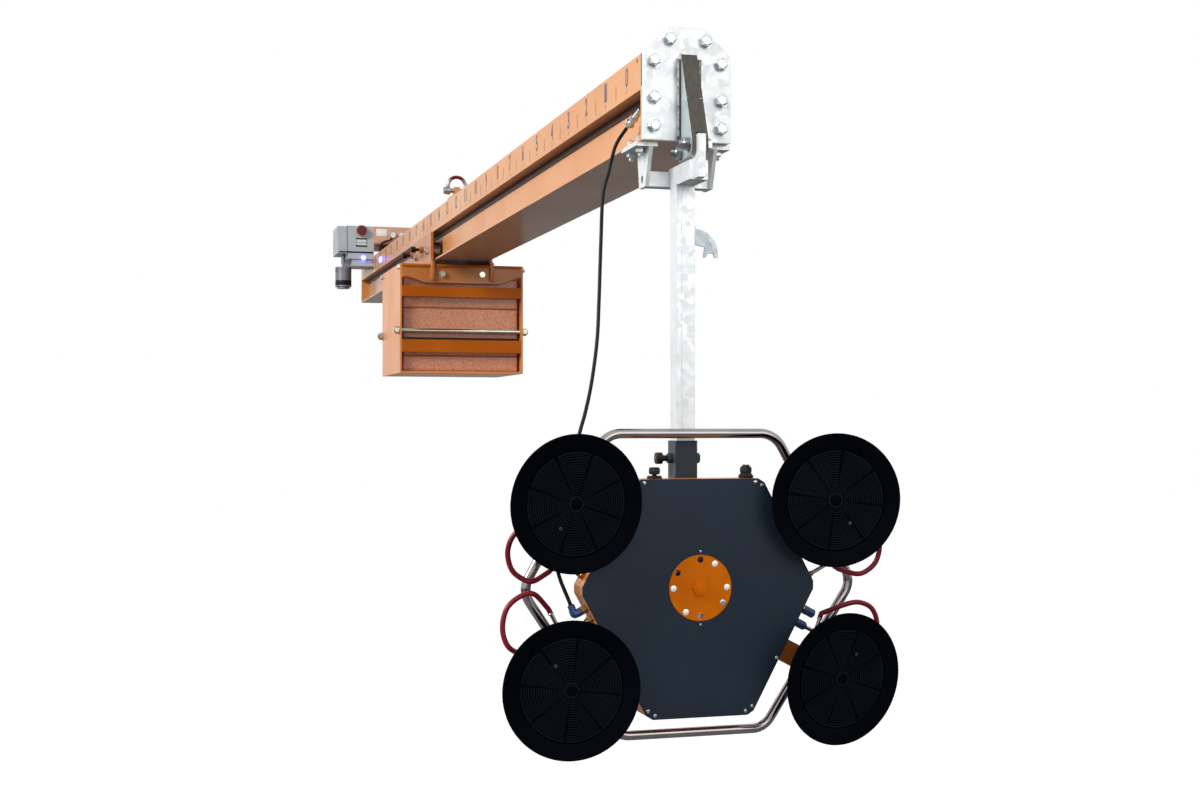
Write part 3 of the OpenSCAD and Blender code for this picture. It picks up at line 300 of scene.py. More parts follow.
def surface(name, colour, patch, rough, metal=0.0, patch_scale=4.0, share=0.6, tooth=300.0, spread=0.2,
            height=0.0002, coat=0.0, edge=0.0015, wear=0.0, bare=(0.45, 0.42, 0.40), gloss=0.35):
    """A finish: patchy colour, fine tooth, rounded and worn edges."""
    material, tree, shader = new_material(name)
    skin = add(tree, "ShaderNodeGroup", {
        "Colour": (*colour, 1), "Patch Colour": (*patch, 1), "Patch Scale": patch_scale, "Patch Share": share,
        "Tooth Scale": tooth, "Roughness": rough, "Roughness Spread": spread}, node_tree=PATCHY).outputs
    base, relief = skin["Colour"], {"Height": skin["Height"], "Distance": height}
    if edge:
        rim = add(tree, "ShaderNodeGroup", {"Radius": edge, "Amount": wear}, node_tree=WORN).outputs
        base, relief["Normal"] = blended(tree, rim["Mask"], base, (*bare, 1)), rim["Normal"]
    feed(tree, shader, {
        "Base Color": base, "Roughness": skin["Roughness"], "Metallic": metal, "Coat Weight": coat,
        "Coat Roughness": 0.15, "Specular IOR Level": gloss,
        "Normal": add(tree, "ShaderNodeBump", relief).outputs["Normal"]})
    return material


def sprayed(name, colour, patch, rough, patch_scale, bare, coat=0.12, wear=0.5, gloss=0.35):
    """Sprayed steel: one tooth and one width of worn edge for every colour."""
    return surface(name, colour, patch, rough, patch_scale=patch_scale, share=0.8, tooth=420, height=0.00012,
                   coat=coat, edge=0.002, wear=wear, bare=bare, gloss=gloss)


def covered(material, mask, colour):
    """Lays one colour over a finish, where the mask says."""
    tree = material.node_tree
    base = tree.nodes["Principled BSDF"].inputs["Base Color"]
    tree.links.new(blended(tree, mask, base.links[0].from_socket, (*colour, 1)), base)
    return material


def dress(node, material):
    """Gives a solid of the frame its finish."""
    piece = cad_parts[node]
    piece.data.materials.clear()
    piece.data.materials.append(material)


black_hose_skin = surface("black_hose_skin", (0.006, 0.006, 0.008), (0.014, 0.014, 0.017), 0.42,
                          patch_scale=14, tooth=900, height=0.00005, edge=0, gloss=0.15)
HEAD = -1152
SUPPLY = [(-131, 168, 30), (-141, 173, 8), (-149, 177, -24), (-155, 180, -52), (-172, 181, -122),
          (-181, 170, -248), (-195, 140, -406), (-209, 110, -514), (-233, 75, -621), (-258, 45, -700),
          (-279, 25, -754), (-305, 5, -830), (-332, -12, -920), (-350, -20, -1010), (-358, -28, -1065),
          (-352, -42, -1120)]
WEB_SEAT = (-82, 86, 90)
gland_start, gland_end = at(-100, 86, 90), at(-116, 140, 58)
gland_way = (gland_end - gland_start).normalized()
elbow_way = Vector((-0.35, 0.12, 0.93)).normalized()
wall_out = Vector((-0.8806, 0, -0.4738))

# The frame's lower edges slope in from its corners: 177 mm in over 329 mm down.
CORNER_X, EDGE_Y, SLOPE = 316, -75, 177 / 329
ELBOW_DOWN, CAP_DOWN = 46, 59
elbow_root = at(-CORNER_X + SLOPE * ELBOW_DOWN, EDGE_Y, HEAD - ELBOW_DOWN)
elbow_mid = elbow_root + 0.034 * wall_out
elbow_tip = elbow_mid + 0.026 * elbow_way
supply_line = hose_line(gland_end, gland_way, elbow_tip, elbow_way, [at(*p) for p in SUPPLY], 0.010)
supply_hose = finished("supply_hose_rubber", swept(supply_line, 0.005, 16), black_hose_skin, None)


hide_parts("supply_hose")
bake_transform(supply_hose)

# ---------------------------------------------------------------- red cup hoses
# Four short loops of crimson tube. Each leaves a barb on the back of its cup
# and is pushed over a steel end on the frame's edge, so that the cup can tilt.
red_hose_skin = surface("red_hose_skin", (0.20, 0.004, 0.016), (0.28, 0.010, 0.026), 0.3,
                        patch_scale=20, tooth=1200, height=0.00004, coat=0.1, edge=0, gloss=0.25)
PIVOT_Y = -120
CUPS = {
    "tl": ((-230.75, 160.7), 152.04, 135, 7, (-40, -60)),
    "tr": ((230.75, 160.7), 27.96, 135, 6, (40, -60)),
    "bl": ((-227.8, -164), 208.28, 143, -3, (-40, 60)),
    "br": ((227.8, -164), -28.28, 143, -12, (40, 60))}
AIR = {
    "tl": ((-316, 0), (-169, 277), 39, 76, (-14, 0, -14)),
    "tr": ((316, 0), (169, 277), 20, 74, (17, 0, -11)),
    "bl": ((-316, 0), (-139, -329), 82, 85, (-31, 0, 57)),
    "br": ((316, 0), (139, -329), 106, 75, (14, 0, 36))}
RED = {
    "tl": [(-460, -118, -992), (-488, -112, -1012), (-500, -108, -1050),
           (-490, -104, -1092), (-464, -102, -1116), (-434, -100, -1124)],
    "tr": [(462, -116, -996), (490, -112, -1016), (502, -108, -1056),
           (494, -104, -1096), (470, -102, -1120), (440, -100, -1129)],
    "bl": [(-466, -112, -1304), (-500, -108, -1280), (-512, -104, -1236),
           (-500, -102, -1188), (-466, -102, -1160), (-432, -102, -1156)],
    "br": [(462, -106, -1308), (488, -104, -1290), (497, -102, -1256),
           (484, -100, -1222), (456, -98, -1206), (420, -97, -1206)]}


def cup_place(name):
    """The cup's own axes: hinge up, arm outward along X, pad towards -Y."""
    root, angle, reach, tilt, _ = CUPS[name]
    angle = math.radians(angle)
    pivot = at(root[0] + reach * math.cos(angle), PIVOT_Y, HEAD + root[1] + reach * math.sin(angle))
    turn = Matrix.Rotation(-angle, 4, "Y") @ Matrix.Rotation(-math.radians(tilt), 4, "Z")
    return Matrix.Translation(pivot) @ turn


def cup_port(name):
    """The port behind the cup and the way its barb points, in the cup's axes."""
    _, angle, _, _, offset = CUPS[name]
    back = Matrix.Rotation(math.radians(angle), 3, "Y")
    port = back @ Vector((offset[0], 0, offset[1])) / 1000
    port.y = -0.013
    return port, back @ Vector((math.copysign(1, offset[0]), 0, 0))


def air_places(name):
    """Root, knee and tip of the steel pipe that a red hose is pushed over."""
    corner, far, along, length, leg = AIR[name]
    edge = Vector((far[0] - corner[0], far[1] - corner[1])).normalized()
    side = math.copysign(1, corner[0]) * math.copysign(1, far[1])
    out = Vector((side * edge.y, 0, -side * edge.x))
    root = at(corner[0] + along * edge.x, EDGE_Y, HEAD + corner[1] + along * edge.y)
    knee = root + out * length / 1000
    return root, out, knee, knee + Vector(leg) / 1000


for name in CUPS:
    port, barb = cup_port(name)
    place = cup_place(name)
    leaves = place.to_3x3() @ barb
    start = place @ (port + 0.024 * barb)
    root, out, knee, tip = air_places(name)
    line = hose_line(start, leaves, tip, (tip - knee).normalized(), [at(*p) for p in RED[name]], 0.0135,
                     0.004)
    hose = finished(f"red_hose_rubber_{name}", swept(line, 0.00675, 20), red_hose_skin, None)
    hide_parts(f"red_hose_{name}")
    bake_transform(hose)

# ---------------------------------------------------------------- beam
# A welded box beam, sprayed in satin orange. A pale ruler with plain numbers
# is stencilled on its left side, from the near end, every 200 mm.
orange_paint = sprayed("orange_paint", (0.66, 0.295, 0.098), (0.57, 0.225, 0.064), 0.34, 3, (0.78, 0.46, 0.24),
                       wear=0.55)


def sheltered_faces():
    """A mask of painted shade: the faces that look down or left, each with its own strength."""
    group, given, out = new_group("sheltered_faces", [("Down", FLOAT, 0.0), ("Left", FLOAT, 0.0)],
                                  [("Mask", FLOAT)])
    normal = add(group, "ShaderNodeTexCoord").outputs["Normal"]
    split = add(group, "ShaderNodeSeparateXYZ", {0: normal}).outputs
    down, left = (maths(group, "MULTIPLY", ramped(group, split[way], -0.45, -0.85), given[label])
                  for label, way in (("Down", "Z"), ("Left", "X")))
    feed(group, out, {"Mask": maths(group, "ADD", down, left, use_clamp=True)})
    return group


PAINTED_SHADE_FACES = sheltered_faces()


def weathered(material, colour, down=0.0, left=0.0):
    """Paints shade on the faces that look down or left, towards one colour."""
    mask = add(material.node_tree, "ShaderNodeGroup", {"Down": down, "Left": left}, node_tree=PAINTED_SHADE_FACES)
    return covered(material, mask.outputs["Mask"], colour)


# Painted shade: the beam's faces that look down turn a dull brown.
weathered(orange_paint, (0.25, 0.14, 0.098), down=0.8)
for node in ("beam", "shackle_lug"):
    dress(node, orange_paint)
stencil_grey = surface("stencil_grey", (0.085, 0.085, 0.10), (0.20, 0.15, 0.13), 0.5, patch_scale=60,
                       share=0.9, tooth=900, height=0, edge=0)
FIGURES_X, TICKS_X = -120.25, -120.1
RULER_START, RULER_PITCH, RULER_COUNT = 132, 200, 27
FIGURES_Z, FIGURES_HIGH = 163, 52
SIDES = ((-1, "left"), (1, "right"))


def baked(source):
    """The mesh that an object's modifiers or curves make. The object itself goes."""
    data = bpy.data.meshes.new_from_object(source.evaluated_get(bpy.context.evaluated_depsgraph_get()))
    bpy.data.objects.remove(source)
    return data


def stencil_text(words, y, z, high, wide):
    """Plain figures facing left, as a mesh with its lower edge at z."""
    text = bpy.data.curves.new("figures", "FONT")
    text.body = words
    text.align_x = "CENTER"
    text.size = 1.0
    text.extrude = 0.1
    text.offset = 0.018
    data = baked(linked("figures", text))
    xs, ys = [v.co.x for v in data.vertices], [v.co.y for v in data.vertices]
    tall = high / (max(ys) - min(ys))
    broad = wide * len(words) / (max(xs) - min(xs))
    for v in data.vertices:
        v.co = at(FIGURES_X - v.co.z * 2, y - v.co.x * broad, z + (v.co.y - min(ys)) * tall)
    return data


def joined(meshes):
    """Several meshes as one, with their maps left out."""
    verts, faces = [], []
    for data in meshes:
        first = len(verts)
        verts += [v.co.copy() for v in data.vertices]
        faces += [[first + v for v in face.vertices] for face in data.polygons]
    whole = bpy.data.meshes.new("joined")
    whole.from_pydata(verts, [], faces)
    return whole


figures = [stencil_text(str(k), RULER_START + RULER_PITCH * k, FIGURES_Z, FIGURES_HIGH, 24 if k < 10 else 20)
           for k in range(RULER_COUNT)]
finished("ruler_figures", joined(figures), stencil_grey, "beam_assembly", False)


def node_tree(name, inputs):
    """A geometry tree with named inputs and one geometry output."""
    tree = bpy.data.node_groups.new(name, "GeometryNodeTree")
    tree.interface.new_socket(name="Geometry", in_out="INPUT", socket_type="NodeSocketGeometry")
    for label, kind, value in inputs:
        socket = tree.interface.new_socket(name=label, in_out="INPUT", socket_type="NodeSocket" + kind)
        if value is not None:
            socket.default_value = value
    tree.interface.new_socket(name="Geometry", in_out="OUTPUT", socket_type="NodeSocketGeometry")
    return tree, tree.nodes.new("NodeGroupInput").outputs, tree.nodes.new("NodeGroupOutput")


def scattered(tree, given, out, points, solids, rotation=(0, 0, 0)):
    """Ends a geometry tree: the solids at every point, as real faces in the given finish."""
    together = add(tree, "GeometryNodeJoinGeometry")
    for solid in solids:
        tree.links.new(solid, together.inputs[0])
    spread = add(tree, "GeometryNodeInstanceOnPoints",
                 {"Points": points, "Instance": together.outputs[0], "Rotation": rotation})
    real = add(tree, "GeometryNodeRealizeInstances", {0: spread.outputs[0]})
    paint = add(tree, "GeometryNodeSetMaterial", {"Geometry": real.outputs[0], "Material": given["Finish"]})
    tree.links.new(paint.outputs[0], out.inputs[0])
    return tree


def grown(name, tree, values, body, data=None):
    """Runs a geometry tree and keeps its result as a plain mesh."""
    seed = linked("seed", data or bpy.data.meshes.new("seed"))
    modifier = seed.modifiers.new("tree", "NODES")
    modifier.node_group = tree
    for item in tree.interface.items_tree:
        if item.in_out == "INPUT" and item.name in values:
            modifier[item.identifier] = values[item.name]
    return finished(name, baked(seed), None, body, False)


def tick_tree():
    """A row of thin upright marks along Y."""
    tree, given, out = node_tree("ruler_ticks", [
        ("Count", "Int", 10), ("Start", "Vector", (0, 0, 0)), ("Pitch", "Vector", (0, 0.2, 0)),
        ("Mark Size", "Vector", (0.0004, 0.004, 0.04)), ("Finish", "Material", None)])
    row = add(tree, "GeometryNodeMeshLine",
              {"Count": given["Count"], "Start Location": given["Start"], "Offset": given["Pitch"]})
    mark = add(tree, "GeometryNodeMeshCube", {"Size": given["Mark Size"]})
    return scattered(tree, given, out, row.outputs[0], [mark.outputs[0]])


TICKS = tick_tree()
for name, first, low, high in (("ruler_short_ticks", 132, 146, 155), ("ruler_half_ticks", 232, 146, 186)):
    grown(name, TICKS, {"Count": RULER_COUNT, "Start": at(TICKS_X, first, (low + high) / 2),
                        "Pitch": Vector((0, RULER_PITCH / 1000, 0)),
                        "Mark Size": Vector((0.0004, 0.004, (high - low) / 1000)),
                        "Finish": stencil_grey}, "beam_assembly")


def bead(name, start, end, width, material, ripple=0.12, body="beam_assembly"):
    """A weld bead: a low round seam with the ripples of the welder's steps."""
    line = flowing([at(*start), at(*end)], 0.0022)
    girth = [width / 2000 * (1 + ripple * math.sin(i * 1.9)) for i in range(len(line))]
    return finished(name, swept(line, girth, 10), material, body)


for side, hand in SIDES:
    bead(f"web_weld_{hand}", (side * 81.5, 16, 8.5), (side * 81.5, 5500, 8.5), 7, orange_paint)

# ---------------------------------------------------------------- end plate and bolts
# A hot-dip galvanised plate closes the beam. Domed hexagon bolts on washers
# hold it, and bolts like them hold the bracket, the hanger and its clamps.


def spangle():
    """Crystal flowers of zinc: a mosaic of tones and of roughness."""
    group, given, out = new_group("zinc_spangle", [
        ("Colour", COLOUR, (0.8, 0.8, 0.8, 1)), ("Dark Colour", COLOUR, (0.5, 0.5, 0.5, 1)),
        ("Grime Colour", COLOUR, (0.3, 0.28, 0.26, 1)), ("Flower Scale", FLOAT, 60.0),
        ("Flower Share", FLOAT, 0.4), ("Grime Share", FLOAT, 0.3), ("Roughness", FLOAT, 0.4)],
        [("Colour", COLOUR), ("Roughness", FLOAT), ("Height", FLOAT)])
    place = add(group, "ShaderNodeTexCoord").outputs["Object"]
    warp = add(group, "ShaderNodeMix", {"Factor": 0.02, "A": place, "B": grain(group, 40)["Color"]},
               data_type="VECTOR")
    flower = add(group, "ShaderNodeTexVoronoi",
                 {"Vector": warp.outputs["Result"], "Scale": given["Flower Scale"]})
    tone = add(group, "ShaderNodeSeparateColor", {0: flower.outputs["Color"]}).outputs
    bright = blended(group, maths(group, "MULTIPLY", tone[0], given["Flower Share"]), given["Colour"],
                     given["Dark Colour"])
    cloud = grain(group, 9, 8)["Fac"]
    dirt_and_shade = ramped(group, cloud, 0.48, 0.72, given["Grime Share"])
    feed(group, out, {"Colour": blended(group, dirt_and_shade, bright, given["Grime Colour"]), "Height": cloud,
                      "Roughness": maths(group, "MULTIPLY_ADD", tone[1], 0.22, given["Roughness"])})
    return group


SPANGLE = spangle()


def front_grime(tree, clean):
    """Painted shade, streaked by noise, over the faces that look forward, and the streaks' height."""
    place = add(tree, "ShaderNodeTexCoord").outputs["Object"]
    stretch = add(tree, "ShaderNodeMapping", {"Vector": place, "Scale": (1, 1, 0.16)})
    streak = add(tree, "ShaderNodeTexNoise",
                 {"Vector": stretch.outputs[0], "Scale": 130, "Detail": 6}).outputs["Fac"]
    # Painted shade: two dark browns, mixed by the streaks.
    dirt_and_shade = blended(tree, streak, (0.055, 0.046, 0.038, 1), (0.15, 0.135, 0.115, 1))
    normal = add(tree, "ShaderNodeNewGeometry").outputs["Normal"]
    facing = ramped(tree, add(tree, "ShaderNodeSeparateXYZ", {0: normal}).outputs["Y"], -0.35, -0.8)
    return blended(tree, facing, clean, dirt_and_shade), streak


def zinc(name, colour, dark, dirt_and_shade, grime_share, metal, rough=0.32, height=0.0004,
         edge_shade_colour=(0.42, 0.50, 0.56), shaded_front=False):
    """A galvanised finish with rounded edges darkened as painted shade, and painted shade streaked over its front
    if asked.
    """
    material, tree, shader = new_material(name)
    coat = add(tree, "ShaderNodeGroup", {
        "Colour": (*colour, 1), "Dark Colour": (*dark, 1), "Grime Colour": (*dirt_and_shade, 1),
        "Grime Share": grime_share, "Roughness": rough}, node_tree=SPANGLE).outputs
    rim = add(tree, "ShaderNodeGroup", {"Radius": 0.0015, "Amount": 0.8}, node_tree=WORN).outputs
    base, relief = front_grime(tree, coat["Colour"]) if shaded_front else (coat["Colour"], coat["Height"])
    bump = add(tree, "ShaderNodeBump", {"Distance": height, "Height": relief, "Normal": rim["Normal"]})
    # Painted shade: the rounded edges darken towards the edge colour.
    feed(tree, shader, {"Base Color": blended(tree, rim["Mask"], base, (*edge_shade_colour, 1)), "Metallic": metal,
                        "Roughness": coat["Roughness"], "Normal": bump.outputs["Normal"]})
    return material


plate_zinc = zinc("plate_zinc", (0.97, 0.98, 0.98), (0.88, 0.91, 0.93), (0.62, 0.68, 0.70), 0.10, 0.35)
# Painted shade: near-black edges on the bright zinc.
bright_zinc = zinc("bright_zinc", (0.95, 0.97, 0.97), (0.78, 0.83, 0.86), (0.50, 0.54, 0.54), 0.22, 0.5,
                   edge_shade_colour=(0.16, 0.19, 0.21))
# Painted shade: on the column, hanger and clamps, the faces that look down, and a little those that look left,
# turn grey.
weathered(bright_zinc, (0.27, 0.31, 0.30), down=0.9, left=0.22)
bolt_zinc = surface("bolt_zinc", (0.50, 0.55, 0.58), (0.74, 0.79, 0.82), 0.24, metal=1.0, patch_scale=70,
                    share=0.8, tooth=500, height=0.0001, edge=0.0008, wear=0.6, bare=(0.85, 0.88, 0.9))
dark_bolt = surface("dark_bolt", (0.16, 0.17, 0.18), (0.42, 0.44, 0.45), 0.25, metal=1.0, patch_scale=90,
                    share=0.9, tooth=600, height=0.0001, edge=0.0008, wear=0.7, bare=(0.7, 0.72, 0.74))
dress("end_plate", plate_zinc)


def lifted(tree, shape, sides, depth, lift, radii):
    """A cylinder, or a cone with its top cut off, lifted to its place."""
    solid = add(tree, "GeometryNodeMesh" + shape, {"Vertices": sides, "Depth": depth, **radii})
    up = add(tree, "ShaderNodeCombineXYZ", {"Z": lift})
    return add(tree, "GeometryNodeTransform",
               {"Geometry": solid.outputs[0], "Translation": up.outputs[0]}).outputs[0]


def bolt_tree():
    """A hexagon head or nut with a domed top, on a round washer, at every point."""
    tree, given, out = node_tree("hex_bolts", [
        ("Across Flats", "Float", 0.03), ("Head Height", "Float", 0.012), ("Washer", "Float", 0.037),
        ("Washer Height", "Float", 0.003), ("Seed", "Int", 3), ("Finish", "Material", None)])
    high, thick = given["Head Height"], given["Washer Height"]
    corner = maths(tree, "DIVIDE", given["Across Flats"], math.sqrt(3))
    body, dome, cap = (maths(tree, "MULTIPLY", high, share) for share in (0.76, 0.14, 0.10))
    wide, narrow, tip = (maths(tree, "MULTIPLY", corner, share) for share in (0.84, 0.72, 0.60))
    top = maths(tree, "ADD", thick, body)
    middle = maths(tree, "ADD", thick, maths(tree, "DIVIDE", body, 2))
    solids = [
        lifted(tree, "Cylinder", 28, thick, maths(tree, "DIVIDE", thick, 2),
               {"Radius": maths(tree, "DIVIDE", given["Washer"], 2)}),
        lifted(tree, "Cylinder", 6, body, middle, {"Radius": corner}),
        lifted(tree, "Cone", 6, dome, top, {"Radius Bottom": corner, "Radius Top": wide}),
        lifted(tree, "Cone", 24, cap, maths(tree, "ADD", top, dome), {"Radius Bottom": narrow, "Radius Top": tip})]
    aim = add(tree, "GeometryNodeInputNamedAttribute", {"Name": "aim"}, data_type="FLOAT_VECTOR")
    face = add(tree, "FunctionNodeAlignRotationToVector", {"Vector": aim.outputs[0]}, axis="Z")
    twist = add(tree, "FunctionNodeRandomValue", {0: (0, 0, 0), 1: (0, 0, 1.047), "Seed": given["Seed"]},
                data_type="FLOAT_VECTOR")
    own = add(tree, "FunctionNodeRotateRotation", {0: face.outputs[0], 1: twist.outputs[0]},
              rotation_space="LOCAL")
    return scattered(tree, given, out, given["Geometry"], solids, own.outputs[0])


BOLTS = bolt_tree()


def bolts(name, spots, flats, height, washer, material, body, washer_height=3, seed=3):
    """Bolt heads at (x, y, z) spots, each with the way that it faces."""
    data = bpy.data.meshes.new("spots")
    data.from_pydata([at(*spot) for spot, _ in spots], [], [])
    aim = data.attributes.new("aim", "FLOAT_VECTOR", "POINT")
    for i, (_, way) in enumerate(spots):
        aim.data[i].vector = way
    return grown(name, BOLTS, {
        "Across Flats": flats / 1000, "Head Height": height / 1000, "Washer": washer / 1000,
        "Washer Height": washer_height / 1000, "Seed": seed, "Finish": material}, body, data)


def lathed(rings, sides):
    """A mesh from rings of points round an axis. A ring of one point is a tip."""
    verts, faces, rows = [], [], []
    for ring in rings:
        rows.append(list(range(len(verts), len(verts) + len(ring))))
        verts += ring
    for low, high in zip(rows, rows[1:]):
        for k in range(sides):
            n = (k + 1) % sides
            face = list(dict.fromkeys([low[k % len(low)], low[n % len(low)], high[n % len(high)],
                                       high[k % len(high)]]))
            if len(face) > 2:
                faces.append(face)
    faces += [end for end in (rows[0][::-1], rows[-1]) if len(end) > 1]
    data = bpy.data.meshes.new("turned")
    data.from_pydata(verts, [], faces)
    return data


def turned(profile, place, sides=48):
    """A turned part. profile is (radius, height) in millimetres from its lower
    centre round to its upper one, and place carries local Z to the real axis."""
    rings = []
    for radius, height in profile:
        turns = [2 * math.pi * k / sides for k in range(sides if radius else 1)]
        rings.append([place @ Vector((radius * math.cos(turn) / 1000, radius * math.sin(turn) / 1000,
                                      height / 1000)) for turn in turns])
    return lathed(rings, sides)


def axis(start, way):
    """The place of a turned part that starts at a point and looks one way."""
    return Matrix.Translation(start) @ Vector(way).to_track_quat("Z", "Y").to_matrix().to_4x4()


def soft_edged(piece, angle=40):
    """Smooth shading that keeps sharp corners sharp."""
    piece.data.shade_smooth()
    piece.data.set_sharp_from_angle(angle=math.radians(angle))
    return piece


def formed(name, meshes, material, body, angle=40):
    """Several meshes as one piece, smooth between its sharp corners."""
    return soft_edged(finished(name, joined(meshes), material, body), angle)


def threaded(radius, length, pitch=2.5, depth=1.0, chamfer=2.0):
    """The profile of a bolt's threaded end."""
    rows, height = [(0, 0), (radius, 0)], 1.0
    while height < length - chamfer - pitch:
        rows += [(radius, height), (radius - depth, height + pitch / 2)]
        height += pitch
    return rows + [(radius, height), (radius - 0.4, length - chamfer), (radius - chamfer, length), (0, length)]


PLATE_FACE = -12
END_BOLTS = [(92, 35), (92, 109), (92, 204), (49, 262)]
FRONT, LEFT, RIGHT, UP, DOWN = (0, -1, 0), (-1, 0, 0), (1, 0, 0), (0, 0, 1), (0, 0, -1)
BRACKET_BOLTS, BRACKET_HALF = [(-89, -22), (-27, -35)], 22
end_heads = bolts("end_bolts", [((side * x, PLATE_FACE, z), FRONT) for side in (-1, 1) for x, z in END_BOLTS],
                  30, 12.5, 37, bolt_zinc, "beam_assembly")
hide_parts("galvanised_bolts")
bolts("bracket_bolt_heads", [((BRACKET_HALF, y, z), RIGHT) for y, z in BRACKET_BOLTS], 30, 12.5, 37, bolt_zinc,
      "beam_assembly", seed=5)
bolts("bracket_bolt_nuts", [((-BRACKET_HALF, y, z), LEFT) for y, z in BRACKET_BOLTS], 30, 16, 37, dark_bolt,
      "beam_assembly", seed=8)
formed("bracket_bolt_ends", [turned(threaded(10, 30), axis(at(1 - BRACKET_HALF, y, z), LEFT), 24)
                             for y, z in BRACKET_BOLTS], dark_bolt, "beam_assembly")
CLAMPS = [(side * 107, y) for side in (-1, 1) for y in (55, 135)]
CLAMP_TOP, CLAMP_FOOT = 8, -12
bolts("clamp_bolt_heads", [((x, y, CLAMP_TOP), UP) for x, y in CLAMPS], 21, 10, 26, bolt_zinc, "beam_assembly",
      seed=6)
bolts("clamp_bolt_nuts", [((x, y, CLAMP_FOOT), DOWN) for x, y in CLAMPS], 21, 13, 26, bolt_zinc,
      "beam_assembly", 0.5, seed=7)
formed("clamp_bolt_ends", [turned(threaded(7, 22, 2, 0.8, 1.5), axis(at(x, y, CLAMP_FOOT), DOWN), 20)
                           for x, y in CLAMPS], bolt_zinc, "beam_assembly")

# ---------------------------------------------------------------- bracket and hanger
# A welded wedge bracket carries the hanger's lug on two bolts. Its slanted
# face carries painted shade, a dark brownish grey streaked by noise, and its
# sides stay pale.
# Painted shade: the bracket's zinc is a darker copy of the galvanised finish, its forward faces darker still and
# its edges near black.
dress("wedge_bracket", zinc("shaded_bracket_zinc", (0.50, 0.58, 0.58), (0.30, 0.37, 0.37), (0.17, 0.17, 0.15), 0.5,
                            0.45, rough=0.4, height=0.0008, edge_shade_colour=(0.09, 0.10, 0.10), shaded_front=True))
weld_grey = surface("weld_grey", (0.16, 0.15, 0.13), (0.50, 0.52, 0.50), 0.4, metal=0.6, patch_scale=90,
                    share=0.9, tooth=500, height=0.0002, edge=0)
for name, start, end, width, material, ripple in (
        ("bracket_weld_left", (-29, -25, 8), (-29, -25, 208), 6, weld_grey, 0.12),
        ("bracket_weld_right", (29, -25, 8), (29, -25, 208), 6, weld_grey, 0.12),
        ("bracket_seam_left", (-21, -70.5, 100), (-15, -70.5, 100), 3.4, weld_grey, 0.3),
        ("bracket_seam_right", (13, -70.5, 100), (21, -70.5, 100), 3.4, weld_grey, 0.3),
        ("bracket_top_weld", (-21, -13, 222), (21, -13, 222), 6, weld_grey, 0.2),
        ("cross_tube_weld_left", (-83, 61, -70), (-83, 99, -70), 5, bright_zinc, 0.12),
        ("cross_tube_weld_right", (83, 61, -70), (83, 99, -70), 5, bright_zinc, 0.12),
        ("column_seam", (-12, -0.2, -775), (-12, -0.2, -120), 1.6, bright_zinc, 0.05),
        ("column_top_weld", (-25, 1, -113), (25, 1, -113), 5, bright_zinc, 0.15),
        ("hook_weld", (31.5, 22, -217), (31.5, 22, -265), 3.5, bright_zinc, 0.15)):
    bead(name, start, end, width, material, ripple)

# ---------------------------------------------------------------- column
# A galvanised square tube. It hangs from the arm, has a welded seam up one
# side, a hose hook on the other, and the turning head's sleeve at its foot.
for node in ("hanger_arm", "flange_clamps", "column"):
    dress(node, bright_zinc)
# Painted shade: the hook's edges turn near black.
dress("hose_hook", zinc("hook_zinc", (0.62, 0.68, 0.72), (0.48, 0.54, 0.58), (0.30, 0.34, 0.36), 0.3, 0.5,
                        edge_shade_colour=(0.07, 0.08, 0.09)))
hammered_grey = surface("hammered_grey", (0.030, 0.042, 0.060), (0.020, 0.030, 0.044), 0.4, patch_scale=9,
                        tooth=260, height=0.0003, gloss=0.25, edge=0.0018, wear=0.7, bare=(0.25, 0.27, 0.28))
black_plastic = surface("black_plastic", (0.008, 0.008, 0.009), (0.016, 0.016, 0.018), 0.38, patch_scale=30,
                        tooth=800, height=0.0001, edge=0.0008, wear=0.3, bare=(0.06, 0.06, 0.06), gloss=0.2)
bearing_bronze = surface("bearing_bronze", (0.55, 0.33, 0.12), (0.40, 0.22, 0.08), 0.3, metal=1.0,
                         patch_scale=40, tooth=700, height=0.00005, edge=0.0005)
turned_steel = surface("turned_steel", (0.56, 0.57, 0.58), (0.42, 0.43, 0.44), 0.22, metal=1.0,
                       patch_scale=50, tooth=900, height=0.00005, edge=0.0006)
shadow_brown = surface("shadow_brown", (0.055, 0.028, 0.016), (0.09, 0.045, 0.024), 0.5, patch_scale=30,
                       tooth=700, height=0, edge=0)
for node, material in (("sleeve", hammered_grey), ("hub_housing", hammered_grey), ("hub_bushes", bearing_bronze),
                       ("column_plunger", black_plastic), ("index_pin", turned_steel), ("spindle", turned_steel)):
    dress(node, material)
# Painted shade: a thin dark disc on the strip stands in for the shade inside a hole.
formed("strip_hole_shade", [turned([(0, 0), (4.6, 0), (4.6, 0.4), (0, 0.4)], axis(at(-120, 40, 212), LEFT), 24)],
       shadow_brown, "beam_assembly")
# Painted shadow: a thin dark line along the joint of the beam's end flange and the end plate.
flange_gap_shadow = swept([at(-120, 1.5, z) for z in (140, 168, 196, 223)], 0.0018, 10)
finished("flange_gap_shadow", flange_gap_shadow, shadow_brown, "beam_assembly")
PLUNGER_Y, PLUNGER_Z = 25, -825


def knob(name, place, radius, length, ribs, depth, body):
    """A moulded black knob, pulled in between its ribs, with a domed end."""
    rows = ((0, 0.86), (1.5, 1.0), (length - 3, 1.0), (length - 1, 0.9), (length, 0.72))
    sides, verts = ribs * 6, []
    for height, share in rows:
        for k in range(sides):
            turn = 2 * math.pi * k / sides
            reach = (radius - depth * max(0, -math.cos(turn * ribs))) * share
            verts.append(place @ (Vector((reach * math.cos(turn), reach * math.sin(turn), height)) / 1000))
    data = bpy.data.meshes.new(name)
    data.from_pydata(verts, [], ring_faces(len(rows), sides))
    return soft_edged(finished(name, data, black_plastic, body), 35)


